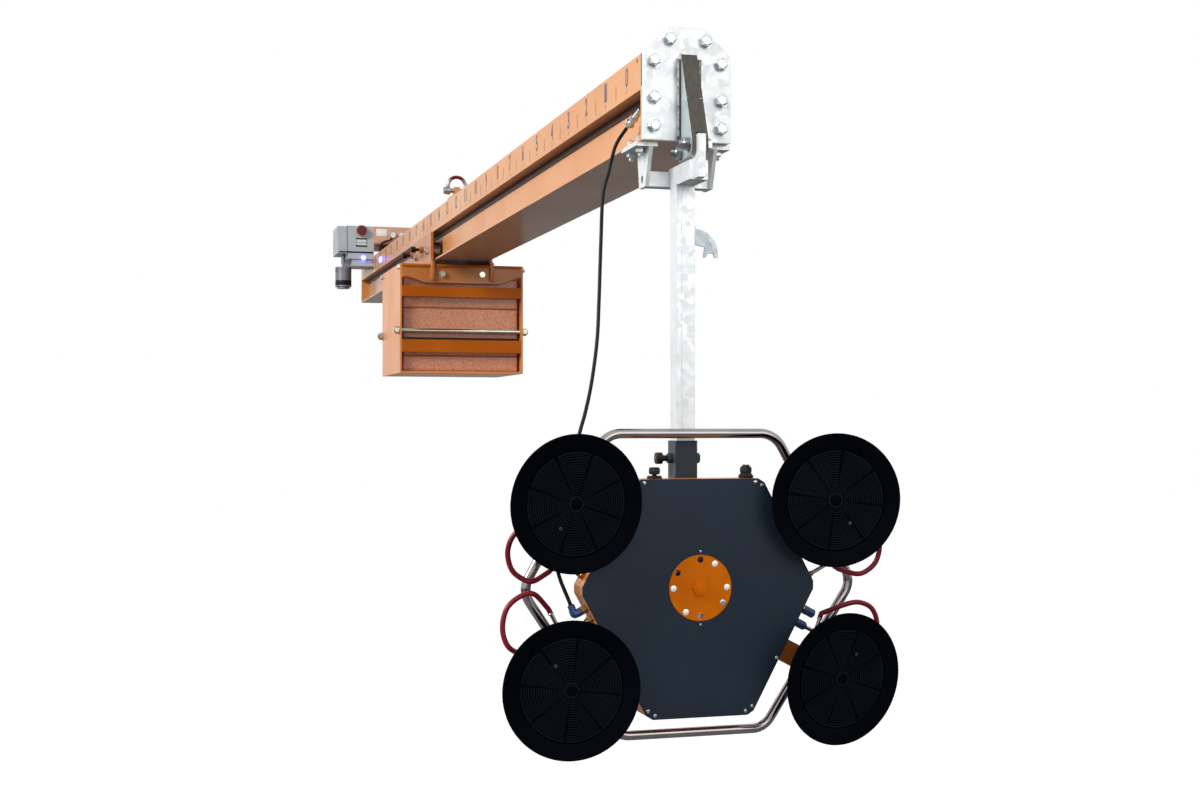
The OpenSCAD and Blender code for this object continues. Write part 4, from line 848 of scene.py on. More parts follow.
knob("plunger_knob", axis(at(-57.5, PLUNGER_Y, PLUNGER_Z), LEFT), 15.3, 17, 12, 1.4, "column_plunger")
plunger_red = surface("plunger_red", (0.35, 0.01, 0.02), (0.28, 0.008, 0.015), 0.3, patch_scale=60, tooth=900,
                      height=0.00004, edge=0)
formed("plunger_dot", [turned([(0, -1), (5, -1), (5, 0.5), (3, 1.2), (0, 1.4)],
                              axis(at(-74.5, PLUNGER_Y, PLUNGER_Z), LEFT), 24)],
       plunger_red, "column_plunger")

# ---------------------------------------------------------------- front of the turning head
# An orange index disc with eight holes turns on the spindle. Its nut is
# painted like the disc. It sits in a round opening of the front plate.
disc_orange = surface("disc_orange", (0.92, 0.215, 0.002), (0.80, 0.175, 0.002), 0.36, patch_scale=18,
                      share=0.9, tooth=500, height=0.00012, coat=0.05, edge=0.001, wear=0.5,
                      bare=(0.85, 0.42, 0.12), gloss=0.06)
slate_paint = surface("slate_paint", (0.015, 0.027, 0.045), (0.021, 0.035, 0.055), 0.42, patch_scale=5,
                      share=0.7, tooth=700, height=0.00008, edge=0.001, wear=0.3, bare=(0.09, 0.10, 0.11),
                      gloss=0.22)
frame_orange = sprayed("frame_orange", (0.62, 0.21, 0.04), (0.52, 0.15, 0.026), 0.34, 6, (0.8, 0.5, 0.25))
arm_brown = sprayed("arm_brown", (0.42, 0.125, 0.022), (0.34, 0.095, 0.016), 0.36, 7, (0.6, 0.36, 0.2), coat=0.1)
for node, material in (("index_disc", disc_orange), ("spindle_nut", disc_orange), ("front_plate", slate_paint),
                       ("frame_body", frame_orange), ("cup_arms", arm_brown)):
    dress(node, material)
FACE = -113
SCREWS = [(150, 268), (167, 259), (122, -318), (140, -306), (208, -186)]
SMALL_SCREWS = [(0, 93), (0, -93)]


def screw_tree():
    """A domed screw head with a hexagon socket, at every point, facing -Y."""
    tree, given, out = node_tree("socket_screws", [
        ("Head", "Float", 0.01), ("Height", "Float", 0.004), ("Finish", "Material", None)])
    cones = []
    for low, high, base, deep, sides in ((0.5, 0.5, 0.0, 0.45, 24), (0.5, 0.44, 0.45, 0.25, 24),
                                         (0.44, 0.30, 0.70, 0.2, 24), (0.26, 0.22, 0.90, 0.06, 6)):
        bottom, top = (maths(tree, "MULTIPLY", given["Head"], share) for share in (low, high))
        depth, lift = (maths(tree, "MULTIPLY", given["Height"], share) for share in (deep, base))
        cones.append(lifted(tree, "Cone", sides, depth, lift, {"Radius Bottom": bottom, "Radius Top": top}))
    return scattered(tree, given, out, given["Geometry"], cones, (math.pi / 2, 0, 0))


SCREW_TREE = screw_tree()


def screws(name, spots, head, height):
    data = bpy.data.meshes.new("spots")
    data.from_pydata([at(*spot) for spot in spots], [], [])
    return grown(name, SCREW_TREE, {"Head": head / 1000, "Height": height / 1000, "Finish": turned_steel},
                 "suction_frame", data)


plate_screws = screws("plate_screws", [(side * x, FACE, HEAD + z) for x, z in SCREWS for side in (-1, 1)], 10, 4)
screws("disc_screws", [(x, FACE, HEAD + z) for x, z in SMALL_SCREWS], 7, 2.5)
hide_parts("frame_fasteners")
EAR_OUT = 26.3
pivot_heads, pivot_nuts, pivot_ends = [], [], []
for name, (root, angle, reach, _, _) in CUPS.items():
    flat = math.radians(angle)
    pivot = Vector((root[0] + reach * math.cos(flat), PIVOT_Y, HEAD + root[1] + reach * math.sin(flat)))
    way = cup_place(name).to_3x3() @ Vector(UP)
    pivot_heads.append((tuple(pivot - way * EAR_OUT), -way))
    pivot_nuts.append((tuple(pivot + way * EAR_OUT), way))
    pivot_ends.append(turned(threaded(8, 16, 2, 0.8, 1.5), axis(at(*(pivot + way * (EAR_OUT + 0.5))), way), 20))
bolts("pivot_bolt_heads", pivot_heads, 24, 10, 26, bolt_zinc, "suction_frame", 0.4, seed=11)
bolts("pivot_bolt_nuts", pivot_nuts, 24, 13, 26, bolt_zinc, "suction_frame", 0.4, seed=12)
formed("pivot_bolt_ends", pivot_ends, bolt_zinc, "suction_frame")

# ---------------------------------------------------------------- handle
# One loop of polished steel tube, bent round the whole frame and welded to
# its arms. The crew steers the panel by it.
polished_tube = surface("polished_tube", (0.30, 0.28, 0.29), (0.42, 0.39, 0.38), 0.13, metal=1.0,
                        patch_scale=12, share=0.5, tooth=1200, spread=0.1, height=0.00003, edge=0)
HANDLE_Y, HANDLE_D = -46.2, 25
LOOP = [(-200, -378, 60), (200, -378, 60), (450, 0, 60), (230, 392, 70), (-230, 392, 70), (-450, 0, 60)]


def bent_loop(corners, steps=14):
    """A closed line through rounded corners, each given as x, z and bend radius."""
    line = []
    for i, (x, z, radius) in enumerate(corners):
        here = Vector((x, z))
        before, after = (Vector(corners[i - 1][:2]) - here).normalized(), (
            Vector(corners[(i + 1) % len(corners)][:2]) - here).normalized()
        half = before.angle(after) / 2
        middle = here + (before + after).normalized() * radius / math.sin(half)
        start = here + before * radius / math.tan(half) - middle
        sweep = math.pi - 2 * half
        for k in range(steps + 1):
            turn = sweep * k / steps
            p = middle + Vector((start.x * math.cos(turn) - start.y * math.sin(turn),
                                 start.x * math.sin(turn) + start.y * math.cos(turn)))
            line.append(at(p.x, HANDLE_Y, HEAD + p.y))
    return line


handle = finished("handle_tube", swept(bent_loop(LOOP), HANDLE_D / 2000, 40, True), polished_tube,
                  "suction_frame")
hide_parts("handle_loop")

# ---------------------------------------------------------------- index holes
# Eight holes in the disc lock the frame at set angles. Thin caps close six of
# them flush with the disc, clear of the pin that locks from behind. The black
# cap is painted shade, a dark disc where an open hole shows its shade.
INDEX_RADIUS = 72


def on_disc(angle, y=FACE):
    turn = math.radians(angle)
    return at(INDEX_RADIUS * math.cos(turn), y, HEAD + INDEX_RADIUS * math.sin(turn))


white_plug = surface("white_plug", (1.0, 1.0, 1.0), (0.96, 0.96, 0.96), 0.5, metal=0.8, patch_scale=80,
                     tooth=900, height=0.00005, edge=0)
THIN_CAP = [(0, 0), (8, 0), (8, 0.4), (7.2, 0.8), (0, 0.8)]
HEX_CAP = [(0, 0), (8, 0), (8, 0.4), (7.2, 0.8), (4.2, 0.8), (4.0, 0.3), (0, 0.3)]
for name, angles, profile, finish, slot in (
        ("index_plugs", (0, 57, 180, 237), THIN_CAP, white_plug, "galvanised"),
        # Painted shade: a black disc in the hole at 90 degrees.
        ("index_hole_shade", (90,), THIN_CAP, black_plastic, "black_plastic"),
        ("index_cap_steel", (327,), HEX_CAP, turned_steel, "zinc_bolts")):
    formed(name, [turned(profile, axis(on_disc(a, FACE + 0.45), FRONT), 32) for a in angles], finish,
           "suction_frame")
formed("spindle_cap", [turned([(0, 0), (12.6, 0), (12.6, 2.2), (11.6, 3.2), (0, 3.4)],
                              axis(at(0, FACE - 8, HEAD), FRONT), 40)], disc_orange, "suction_frame")

# ---------------------------------------------------------------- air fittings
# Brass bodies are screwed into the frame's edge. Blue push fittings take the
# hoses, and bent steel pipes run behind the cups to the red hoses.
fitting_blue = surface("fitting_blue", (0.022, 0.075, 0.21), (0.035, 0.11, 0.30), 0.3, patch_scale=60,
                       tooth=900, height=0.00008, coat=0.4, edge=0.0006, wear=0.3, bare=(0.10, 0.2, 0.4))
brass = surface("brass", (0.42, 0.25, 0.08), (0.30, 0.17, 0.055), 0.28, metal=1.0, patch_scale=60,
                tooth=900, height=0.00008, edge=0.0006, wear=0.6, bare=(0.75, 0.55, 0.25))
pipe_steel = surface("pipe_steel", (0.36, 0.34, 0.32), (0.55, 0.53, 0.50), 0.25, metal=1.0, patch_scale=40,
                     tooth=900, height=0.00005, edge=0)


def hexed(radius_flats, low, high, chamfer=1.2):
    """A hexagon nut's outline for turned() with six sides."""
    corner = radius_flats / math.sqrt(3)
    return [(0, low), (corner * 0.86, low), (corner, low + chamfer), (corner, high - chamfer),
            (corner * 0.86, high), (0, high)]


def collar(radius, low, high, lip=0.8):
    return [(0, low), (radius - lip, low), (radius, low + lip), (radius, high - lip), (radius - lip, high),
            (0, high)]


def grooved(radius, low, high, grooves, depth):
    """A round sleeve with grooves cut round it."""
    rows, step = [(0, low), (radius - 0.8, low), (radius, low + 0.8)], (high - low) / (grooves + 1)
    for k in range(grooves):
        z = low + step * (k + 1)
        rows += [(radius, z - 1.1), (radius - depth, z - 0.6), (radius - depth, z + 0.6), (radius, z + 1.1)]
    return rows + [(radius, high - 0.8), (radius - 0.8, high), (0, high)]


brass_parts, steel_parts, blue_parts, black_parts = [], [], [], []
for name in CUPS:
    root, out, knee, tip = air_places(name)
    leg = (tip - knee).normalized()
    base = axis(root, out)
    brass_parts.append(turned(hexed(19, -0.5, 12), base, 6))
    brass_parts.append(turned(collar(7.4, 11.5, 19), base, 24))
    bend = flowing([root + 0.008 * out, knee - 0.018 * out, knee - 0.007 * out + 0.001 * leg,
                    knee + 0.007 * leg, tip], 0.003)
    steel_parts.append(swept(bend, 0.0055, 20))
    steel_parts.append(turned(collar(7.6, 0, 5, 1.0), axis(tip - 0.004 * leg, leg), 24))
root, out, knee, tip = air_places("br")
blue_parts.append(turned(grooved(11.6, 14, 40, 2, 0.9), axis(root, out), 32))
black_parts.append(turned(collar(8.6, 39, 44), axis(root, out), 28))
elbow, elbow_end = axis(elbow_root, wall_out), axis(elbow_mid, elbow_way)
brass_parts.append(turned(hexed(20, -0.5, 14), elbow, 6))
blue_parts.append(turned(grooved(11, 13, 26, 1, 0.8), elbow, 32))
blue_parts.append(swept(flowing([
    elbow_mid - 0.011 * wall_out, elbow_mid - 0.004 * wall_out + 0.001 * elbow_way,
    elbow_mid + 0.001 * (elbow_way - wall_out), elbow_mid + 0.004 * elbow_way,
    elbow_mid + 0.013 * elbow_way], 0.0015), 0.0108, 32))
blue_parts.append(turned(grooved(9.6, 8, 26, 2, 0.8), elbow_end, 32))
black_parts.append(turned(collar(6.6, 24.5, 28), elbow_end, 28))
closed_end = axis(at(CORNER_X - SLOPE * CAP_DOWN, EDGE_Y, HEAD - CAP_DOWN), Vector((0.8806, 0, -0.4738)))
brass_parts.append(turned(hexed(20, -0.5, 18), closed_end, 6))
blue_parts.append(turned(grooved(12, 18, 48, 2, 0.9), closed_end, 32))
blue_parts.append(turned(collar(9, 47, 50), closed_end, 32))
blue_fittings = formed("blue_push_fittings", blue_parts, fitting_blue, "suction_frame")
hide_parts("air_fittings")
formed("brass_bodies", brass_parts, brass, "suction_frame")
formed("bent_pipes", steel_parts, pipe_steel, "suction_frame")
formed("fitting_rings", black_parts, black_plastic, "suction_frame")

# ---------------------------------------------------------------- hose gland
# A bright steel gland is screwed into the web. Its knurled nut grips the
# black hose where it leaves the beam.
gland_steel = surface("gland_steel", (0.85, 0.86, 0.84), (0.45, 0.45, 0.43), 0.2, metal=1.0, patch_scale=70,
                      share=0.9, tooth=700, height=0.00008, edge=0.0008, wear=0.6, bare=(0.9, 0.9, 0.9))
web, way = axis(at(*WEB_SEAT), LEFT), axis(gland_start, gland_way)
gland = formed("gland_tube", [
    turned(collar(12, 0, 6), web, 36), turned(hexed(20, 6, 16), web, 6),
    turned(collar(7.6, -9, 30), way, 32), turned(hexed(21, 22, 32), way, 6),
    turned(grooved(8.6, 32, 44, 1, 1.4), way, 32), turned(hexed(24, 44, 55), way, 6),
    turned([(0, 55), (8.4, 55), (7.6, 59), (5.6, 64.5), (0, 64.5)], way, 32)],
    gland_steel, "beam_assembly")
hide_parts("hose_gland")
formed("gland_rings", [turned(collar(8.2, h, h + 1.6, 0.6), way, 28) for h in range(0, 24, 3)],
       gland_steel, "beam_assembly")

# ---------------------------------------------------------------- valve buttons
# Two black plastic controls stand on the frame's upper edge. One releases the
# vacuum and the other is the vent's wing knob.
for node in ("release_button", "vent_knob"):
    dress(node, black_plastic)
TOP = HEAD + 277
RELEASE_X, VENT_X, VALVE_Y, COLLAR_R = -109, 140, -70, 15.5
knob("release_cap", axis(at(RELEASE_X, VALVE_Y, TOP + 12), UP), 14.6, 15.6, 10, 1.1, "release_button")
knob("vent_skirt", axis(at(VENT_X, VALVE_Y, TOP + 13), UP), 15.2, 15.5, 14, 1.2, "vent_knob")
rings = []
for x in (RELEASE_X, VENT_X):
    turns = [math.radians(10 * k) for k in range(36)]
    rings.append(swept([at(x + COLLAR_R * math.cos(turn), VALVE_Y + COLLAR_R * math.sin(turn), TOP + 3.4)
                        for turn in turns], 0.0042, 12, True))
finished("valve_collars", joined(rings), black_plastic, "suction_frame")

# ---------------------------------------------------------------- suction cups
# Each cup is a moulded black rubber bowl on a steel plate. The pad inside the
# lip has fine rings, eight spokes and a small suction port.
def rubber_skin(name, colour, dusty, gloss):
    """Black rubber, a little dusty in patches, with a dull sheen."""
    return surface(name, colour, dusty, 0.5, patch_scale=11, share=0.9, tooth=520, spread=0.3, height=0.00015,
                   edge=0, gloss=gloss)


lip_rubber = rubber_skin("lip_rubber", (0.0008, 0.0014, 0.0034), (0.0018, 0.0028, 0.0050), 0.02)
pad_rubber = rubber_skin("pad_rubber", (0.0034, 0.0066, 0.0105), (0.0058, 0.0098, 0.0145), 0.07)
cup_metal = surface("cup_metal", (0.10, 0.12, 0.14), (0.16, 0.18, 0.20), 0.4, metal=0.5, patch_scale=15,
                    tooth=500, height=0.0001, edge=0.001, wear=0.7, bare=(0.4, 0.42, 0.44))
dark_steel = surface("dark_steel", (0.05, 0.05, 0.055), (0.10, 0.10, 0.11), 0.35, metal=0.8, patch_scale=80,
                     tooth=900, height=0.0001, edge=0.0006, wear=0.5, bare=(0.4, 0.4, 0.4))
RINGS, RING_STEP, RING_START, RING_DEPTH = 17, 6.2, 20, 1.3
PAD_FRONT, PAD_RADIUS, SPOKES, CUP_SIDES = 57, 0.1275, 8, 192


def cup_outline():
    """(radius, depth, spoked) round the rubber's section, from the back to the middle."""
    rows = [(0, 44), (120, 44), (120, 36), (108, 36), (108, 31), (124, 31), (127, 31.6), (140, 40), (152, 46.6),
            (164, 54.5), (171, 59.2), (172, 60.6), (172, 64), (171.3, 65), (168.6, 65), (166, 64.4),
            (150, 60.6), (133.5, 57.2), (132, 56.2), (132, 54), (128, 54), (128, 56), (127, PAD_FRONT)]
    rings = [(RING_START + RING_STEP * k + over, PAD_FRONT - drop, True) for k in reversed(range(RINGS))
             for over, drop in ((4.0, 0), (3.2, RING_DEPTH), (1.4, RING_DEPTH), (0.6, 0))]
    core = [(18, PAD_FRONT), (15, PAD_FRONT), (13, 58.4), (10, 59), (4, 59), (0, 59)]
    return [(*row, False) for row in rows] + rings + [(*row, False) for row in core]


def cup_mesh(place):
    """The rubber bowl. The flat of its pad is in the paler rubber."""
    rings = []
    for radius, depth, spoked in cup_outline():
        ring = []
        for k in range(CUP_SIDES if radius else 1):
            turn = 2 * math.pi * k / CUP_SIDES
            spoke = spoked and k % (CUP_SIDES // SPOKES) == 5
            deep = PAD_FRONT - RING_DEPTH if spoke else depth
            ring.append(place @ Vector((radius * math.cos(turn) / 1000, -deep / 1000,
                                        radius * math.sin(turn) / 1000)))
        rings.append(ring)
    data = lathed(rings, CUP_SIDES)
    for rubber in (lip_rubber, pad_rubber):
        data.materials.append(rubber)
    back = place.inverted()
    for face in data.polygons:
        spot = back @ face.center
        flat = abs(spot.y * 1000 + PAD_FRONT) < 0.05 and math.hypot(spot.x, spot.z) < PAD_RADIUS
        face.material_index = 1 if flat else 0
    return data


for name in CUPS:
    place = cup_place(name)
    bowl = soft_edged(finished(f"cup_bowl_{name}", cup_mesh(place), None, f"cup_{name}"), 34)
    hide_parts(f"cup_rubber_{name}")
    dress(f"cup_plate_{name}", cup_metal)
    port, barb = cup_port(name)
    front = place @ Matrix.Translation((port.x, -PAD_FRONT / 1000, port.z)) @ Matrix.Rotation(math.pi / 2, 4, "X")
    formed(f"suction_port_{name}", [turned([(0, -2), (4.6, -2), (4.6, 0.5), (3.9, 0.9), (2.6, 0.9), (2.4, -0.8),
                                            (0, -0.8)], front, 24)],
           dark_steel, f"cup_{name}")
    clip = axis(place @ (port + 0.028 * barb), place.to_3x3() @ barb)
    screw = clip @ Matrix.Translation((0, 0.0092, 0.003)) @ Matrix.Rotation(math.pi / 2, 4, "Y")
    formed(f"hose_clip_{name}", [turned(collar(8.0, 0, 6, 0.6), clip, 32),
                                 turned(collar(2.4, -2.4, 2.4, 0.4), screw, 16)],
           turned_steel, f"cup_{name}")

# ---------------------------------------------------------------- trolley
# Two orange side plates run along the beam's flange on four steel rollers.
# Two hand screws with black knobs lock the trolley to the beam's web.
trolley_orange = sprayed("trolley_orange", (0.50, 0.16, 0.026), (0.42, 0.12, 0.018), 0.32, 5, (0.75, 0.45, 0.25),
                         coat=0.15)
roller_steel = surface("roller_steel", (0.30, 0.30, 0.31), (0.20, 0.19, 0.18), 0.3, metal=0.95, patch_scale=25,
                       tooth=600, height=0.0001, edge=0.001, wear=0.7, bare=(0.65, 0.65, 0.66))
dress("trolley_frame", trolley_orange)
dress("roller_axles", bolt_zinc)
for node in ("roller_front_left", "roller_front_right", "roller_rear_left", "roller_rear_right"):
    dress(node, roller_steel)
for y, end in ((3226, "front"), (3476, "rear")):
    dress(f"trolley_lock_{end}", black_plastic)
    knob(f"lock_knob_{end}", axis(at(-175.5, y, 66), LEFT), 14.3, 22, 8, 1.3, f"trolley_lock_{end}")


def box(corner):
    """A box mesh. corner places each corner, given as -1 or 1 along each axis."""
    data = bpy.data.meshes.new("box")
    data.from_pydata([corner(x, y, z) for x in (-1, 1) for y in (-1, 1) for z in (-1, 1)], [],
                     [(0, 1, 3, 2), (4, 6, 7, 5), (0, 4, 5, 1), (2, 3, 7, 6), (0, 2, 6, 4), (1, 5, 7, 3)])
    return data


def block(name, low, high, radius, material, body, steps=2):
    """A plate or block with rounded edges."""
    size, middle = Vector(high) - Vector(low), (Vector(high) + Vector(low)) / 2
    seed = linked(name, box(lambda *signs: at(*(middle + Vector(signs) * size / 2))))
    soften = seed.modifiers.new("edges", "BEVEL")
    soften.width = min(radius, 0.49 * min(size)) / 1000
    soften.segments = steps
    return soft_edged(finished(name, baked(seed), material, body), 50)


for side, hand in SIDES:
    near, far = sorted((side * 82, side * 82.8))
    # Painted shadow: a dark strip along each web, under the overhang, where the shadow falls.
    block(f"web_shadow_strip_{hand}", (near, 2, 106), (far, 5490, 131.6), 0.3, shadow_brown, "beam_assembly",
          1)
    near, far = sorted((side * 124, side * 142))
    block(f"cheek_tab_{hand}", (near, 2999, -92), (far, 3013, -6), 3, trolley_orange, "trolley")
    bead(f"cheek_weld_{hand}", (side * 143, 3011, -90), (side * 143, 3011, -10), 5, trolley_orange,
         body="trolley")

# ---------------------------------------------------------------- basket
# A folded steel basket hangs under the trolley. Flat bars close its ends, and
# bright rods with nuts tie its sides together.
basket_orange = sprayed("basket_orange", (0.72, 0.275, 0.076), (0.64, 0.22, 0.055), 0.36, 4, (0.75, 0.48, 0.3))
bar_orange = sprayed("bar_orange", (0.50, 0.115, 0.002), (0.42, 0.09, 0.002), 0.34, 6, (0.7, 0.4, 0.2),
                     coat=0.0, wear=0.4, gloss=0.08)
yellow_zinc = surface("yellow_zinc", (0.60, 0.58, 0.44), (0.42, 0.42, 0.34), 0.22, metal=1.0, patch_scale=18,
                      share=0.9, tooth=700, height=0.00006, edge=0.0008, wear=0.6, bare=(0.85, 0.85, 0.8))
dress("basket", basket_orange)
dress("basket_bars", bar_orange)
dress("tie_rods", yellow_zinc)
for end, y in (("front", 3005), ("rear", 3551.5)):
    block(f"{end}_rim", (-270, y, -32), (270, y + 7.5, -20), 2.5, bar_orange, "trolley")
# Painted shadow: a black strip across each end stands in for the dark gap above a crossbar.
for end, y in (("front", 3013), ("rear", 3545)):
    block(f"bar_shadow_strip_{end}", (-262, y, -356), (262, y + 6, -346), 2, black_plastic, "trolley")
bolts("basket_corner_bolts", [((side * 279, y, -36), LEFT if side < 0 else RIGHT)
                              for side in (-1, 1) for y in (3027, 3537)], 19, 9, 24, bolt_zinc, "trolley", 2,
      seed=21)
for side, hand in SIDES:
    bead(f"basket_weld_{hand}", (side * 270, 3014, -496), (side * 270, 3550, -496), 6, basket_orange,
         body="trolley")

# ---------------------------------------------------------------- counterweight slabs
# Four loose steel slabs, flame cut and thickly painted, lie in the basket.
# The paint is a dusty red brown and its skin is coarse.
slab_paint = surface("slab_paint", (0.70, 0.28, 0.145), (0.46, 0.155, 0.068), 0.34, patch_scale=150, share=1.0,
                     tooth=620, spread=0.35, height=0.0007, coat=0.35, edge=0.003, wear=0.8,
                     bare=(0.60, 0.36, 0.27))
SLAB_X, SLAB_Y = 262, (3044, 3520)
SLAB_Z = [(-497, -425.4), (-425, -353.4), (-353, -213.4), (-213, -73.4)]
SLAB_CELL, SLAB_ROUGH, SLAB_SEED = 7.0, 0.9, 5


def rough_slab(low, high):
    """A slab with cut faces: a closed box of small faces, pushed about by noise."""
    shape = bmesh.new()
    size = [high[i] - low[i] for i in range(3)]
    count = [max(2, round(s / SLAB_CELL)) for s in size]
    for fixed in range(3):
        u, v = [i for i in range(3) if i != fixed]
        for end in (low, high):
            grid = []
            for i in range(count[u] + 1):
                row = []
                for j in range(count[v] + 1):
                    p = [0, 0, 0]
                    p[fixed] = end[fixed]
                    p[u] = low[u] + size[u] * i / count[u]
                    p[v] = low[v] + size[v] * j / count[v]
                    row.append(shape.verts.new(p))
                grid.append(row)
            for i in range(count[u]):
                for j in range(count[v]):
                    shape.faces.new((grid[i][j], grid[i + 1][j], grid[i + 1][j + 1], grid[i][j + 1]))
    bmesh.ops.remove_doubles(shape, verts=shape.verts, dist=0.01)
    middle = [(low[i] + high[i]) / 2 for i in range(3)]
    for vert in shape.verts:
        push = noise.noise_vector(vert.co / 23) * SLAB_ROUGH + noise.noise_vector(vert.co / 5) * SLAB_ROUGH * 0.4
        near = [abs(abs(vert.co[i] - middle[i]) - size[i] / 2) < 0.01 for i in range(3)]
        for i in range(3):
            inward = math.copysign(1, middle[i] - vert.co[i])
            if near[i]:
                vert.co[i] += inward * (abs(push[i]) + (1.6 if sum(near) > 1 else 0))
        vert.co = at(*vert.co)
    bmesh.ops.recalc_face_normals(shape, faces=shape.faces)
    data = bpy.data.meshes.new("slab")
    shape.to_mesh(data)
    shape.free()
    return data


# Blender starts this noise from the clock. A set seed gives the same slabs each run.
noise.seed_set(SLAB_SEED)
for i, (low, high) in enumerate(SLAB_Z):
    slab = finished(f"slab_{i + 1}", rough_slab((-SLAB_X, SLAB_Y[0], low), (SLAB_X, SLAB_Y[1], high)), slab_paint,
                    "trolley")
    soft_edged(slab, 60)
    if i == 0:
        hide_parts("counterweights")

# ---------------------------------------------------------------- pump unit
# The vacuum pump sits on the beam's far end in an orange housing. Its pale
# grey control box has the stop button, the power switch and blue lamps.
pump_orange = sprayed("pump_orange", (0.66, 0.36, 0.24), (0.58, 0.27, 0.16), 0.34, 5, (0.75, 0.5, 0.35), coat=0.3)
box_grey = surface("box_grey", (0.46, 0.50, 0.54), (0.38, 0.42, 0.46), 0.38, patch_scale=6, share=0.8,
                   tooth=500, height=0.0001, edge=0.002, wear=0.5, bare=(0.6, 0.6, 0.6))
dial_white = surface("dial_white", (0.82, 0.83, 0.82), (0.74, 0.75, 0.74), 0.25, patch_scale=60, tooth=900,
                     height=0.00003, coat=0.6, edge=0.0008)
stop_red = surface("stop_red", (0.10, 0.006, 0.010), (0.13, 0.010, 0.014), 0.3, patch_scale=40, tooth=800,
                   height=0.00006, coat=0.1, edge=0.001, gloss=0.2)
ring_gold = surface("ring_gold", (0.56, 0.32, 0.06), (0.44, 0.22, 0.04), 0.35, patch_scale=60, tooth=900,
                    height=0.00006, coat=0.2, edge=0.0008)
filter_grey = surface("filter_grey", (0.24, 0.24, 0.25), (0.14, 0.14, 0.15), 0.3, metal=0.4, patch_scale=14,
                      tooth=500, height=0.0001, edge=0.001, wear=0.6, bare=(0.55, 0.55, 0.55))
switch_teal = surface("switch_teal", (0.55, 0.66, 0.66), (0.36, 0.48, 0.48), 0.3, patch_scale=60, tooth=900,
                      height=0.00006, coat=0.3, edge=0.0008)
lamp_glow, lamp_tree, lamp_shader = new_material("lamp_glow")
lamp_colour = blended(lamp_tree, grain(lamp_tree, 300)["Fac"], (0.03, 0.12, 1.0, 1), (0.14, 0.20, 1.0, 1))
feed(lamp_tree, lamp_shader, {"Base Color": lamp_colour, "Emission Color": lamp_colour,
                              "Emission Strength": 11.0, "Roughness": 0.2})
for node, material in (("pump_housing", pump_orange), ("control_box", box_grey), ("filter_bowl", filter_grey),
                       ("status_lamp", filter_grey), ("power_switch", switch_teal), ("stop_button", stop_red),
                       ("pressure_gauges", dial_white)):
    dress(node, material)


def faced(x, y, z, way=FRONT):
    return axis(at(x, y, z), way)


for name, outline, y, material, body, slot in (
        ("stop_ring", [(0, 0), (31, 0), (32, 1), (32, 5.6), (31, 7), (28, 7.6), (27, 6.6), (0, 6.6)],
         4995.5, ring_gold, "beam_assembly", "bronze"),
        ("stop_cap", [(0, 0), (25.8, 0), (26.4, 2), (26.4, 12), (25.4, 15.5), (22, 18.6), (16, 20.6), (9, 21.4),
                      (0, 21.6)], 4981.5, stop_red, "stop_button", "stop_red")):
    formed(name, [turned(outline, faced(-190, y, 366), 48)], material, body)
for name, low, high, radius, steps in (
        ("switch_frame_top", (-222, 4990.5, 318), (-158, 4995.5, 324), 1.5, 2),
        ("switch_frame_low", (-222, 4990.5, 276), (-158, 4995.5, 282), 1.5, 2),
        ("cover_seam", (-271.5, 4994.2, 214), (-268.5, 4996.2, 392), 0.8, 2),
        ("cable_duct", (-316, 4990, 240), (-122, 4996, 248), 2.9, 4)):
    block(name, low, high, radius, black_plastic, "beam_assembly", steps)
block("blank_panel", (-106, 4989.6, 338), (-44, 4992.4, 380), 1.2, dial_white, "beam_assembly")
block("housing_seam", (-118, 4994, 297), (118, 4996, 300), 0.8, bar_orange, "beam_assembly")
LAMP_Y = 4726
side_lens = turned([(0, 0), (15, 0), (15, 1.5), (11, 3.6), (5, 4.8), (0, 5)], faced(-120, LAMP_Y, 177, LEFT), 32)
for v in side_lens.vertices:
    v.co.y += 2.6 * (v.co.y - at(0, LAMP_Y, 0).y)
front_lens = turned([(0, 0), (13, 0), (13, 3), (10.2, 6.4), (5.2, 8.8), (0, 9.2)], faced(-179, 4990.5, 212), 32)
formed("lamp_lenses", [front_lens, side_lens], lamp_glow, "beam_assembly")
GAUGE_Y, GAUGE_Z = 4970.4, 347
marks, dials, bezels = [], [], []
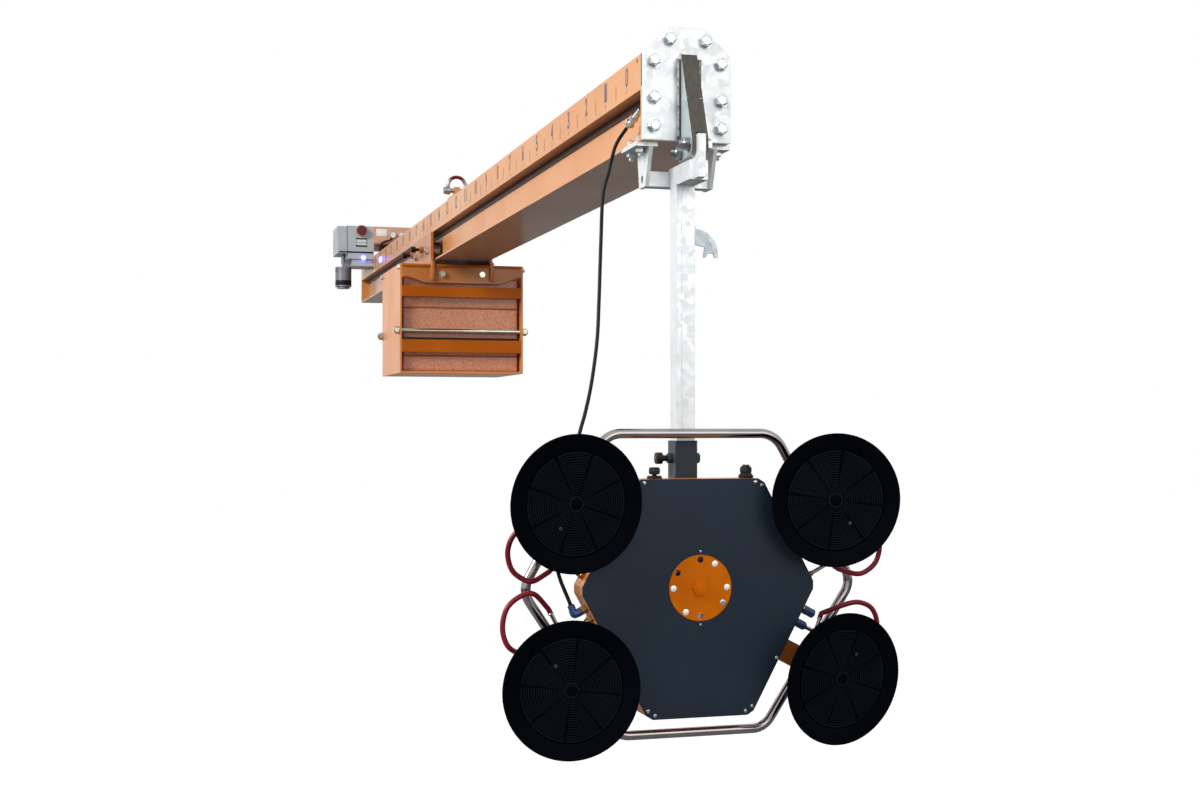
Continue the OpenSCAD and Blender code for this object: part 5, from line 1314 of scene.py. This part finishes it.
for x in (-15, 35):
    seat = faced(x, GAUGE_Y, GAUGE_Z)
    bezels.append(turned([(17.2, -16), (18.2, -15), (18.2, 1.6), (17.4, 2.6), (15.6, 2.6), (15.2, 0.6),
                          (15.2, -1), (0, -1)], seat, 40))
    dials.append(turned([(0, 0), (15.3, 0), (15.3, 0.5), (0, 0.5)], seat, 40))
    for k in range(11):
        turn = Matrix.Rotation(math.radians(225 - 27 * k), 4, "Z")
        mark = seat @ turn @ Matrix.Translation((0.0125, 0, 0.0008))
        half = Vector((1.0, 0.35, 0.15) if k % 5 else (1.5, 0.5, 0.15)) / 1000
        marks.append(box(lambda *signs: mark @ (Vector(signs) * half)))
    needle = seat @ Matrix.Rotation(math.radians(140), 4, "Z")
    marks.append(swept([needle @ Vector((t / 1000, 0, 0.0012)) for t in (-3, 0, 4, 8, 11)],
                       [0.0004, 0.0006, 0.0005, 0.0004, 0.0002], 6))
formed("gauge_bezels", bezels, box_grey, "beam_assembly")
finished("gauge_dials", joined(dials), dial_white, "beam_assembly", False)
finished("gauge_marks", joined(marks), black_plastic, "beam_assembly", False)
elbow_line = flowing([at(-18, 4990, 331), at(-22, 4986, 322), at(-38, 4984, 314), at(-58, 4985, 308),
                      at(-74, 4989, 300), at(-78, 4993, 292)], 0.004)
finished("gauge_pipe", swept(elbow_line, 0.0055, 16), black_plastic, "beam_assembly")
formed("filter_foot", [turned([(0, 0), (36, 0), (43, 3), (45.9, 9), (45.9, 34), (45.5, 36), (0, 36)],
                              faced(-280, 5095, 53.6, UP), 56)], black_plastic, "beam_assembly")
formed("filter_ring", [turned(grooved(46.4, 84, 104, 5, 0.9), faced(-280, 5095, 54, UP), 56)], filter_grey,
       "beam_assembly")

# ---------------------------------------------------------------- lifting bow
# A forged steel bow on a headed pin. The crane hook has rubbed it bright, and
# a dab of dark red paint marks the middle of the beam.
bow_steel = surface("bow_finish", (0.34, 0.32, 0.31), (0.20, 0.17, 0.15), 0.3, metal=0.85, patch_scale=40,
                    share=0.9, tooth=500, spread=0.3, height=0.0002, edge=0, gloss=0.5)
bow_tree = bow_steel.node_tree
place = add(bow_tree, "ShaderNodeTexCoord").outputs["Object"]
upward = add(bow_tree, "ShaderNodeSeparateXYZ", {0: place}).outputs["Z"]
rise = maths(bow_tree, "MULTIPLY_ADD", grain(bow_tree, 80)["Fac"], 0.012, upward)
dress("lifting_bow", covered(bow_steel, ramped(bow_tree, rise, 0.001, 0.004), (0.16, 0.012, 0.012)))
dress("shackle_pin", dark_bolt)
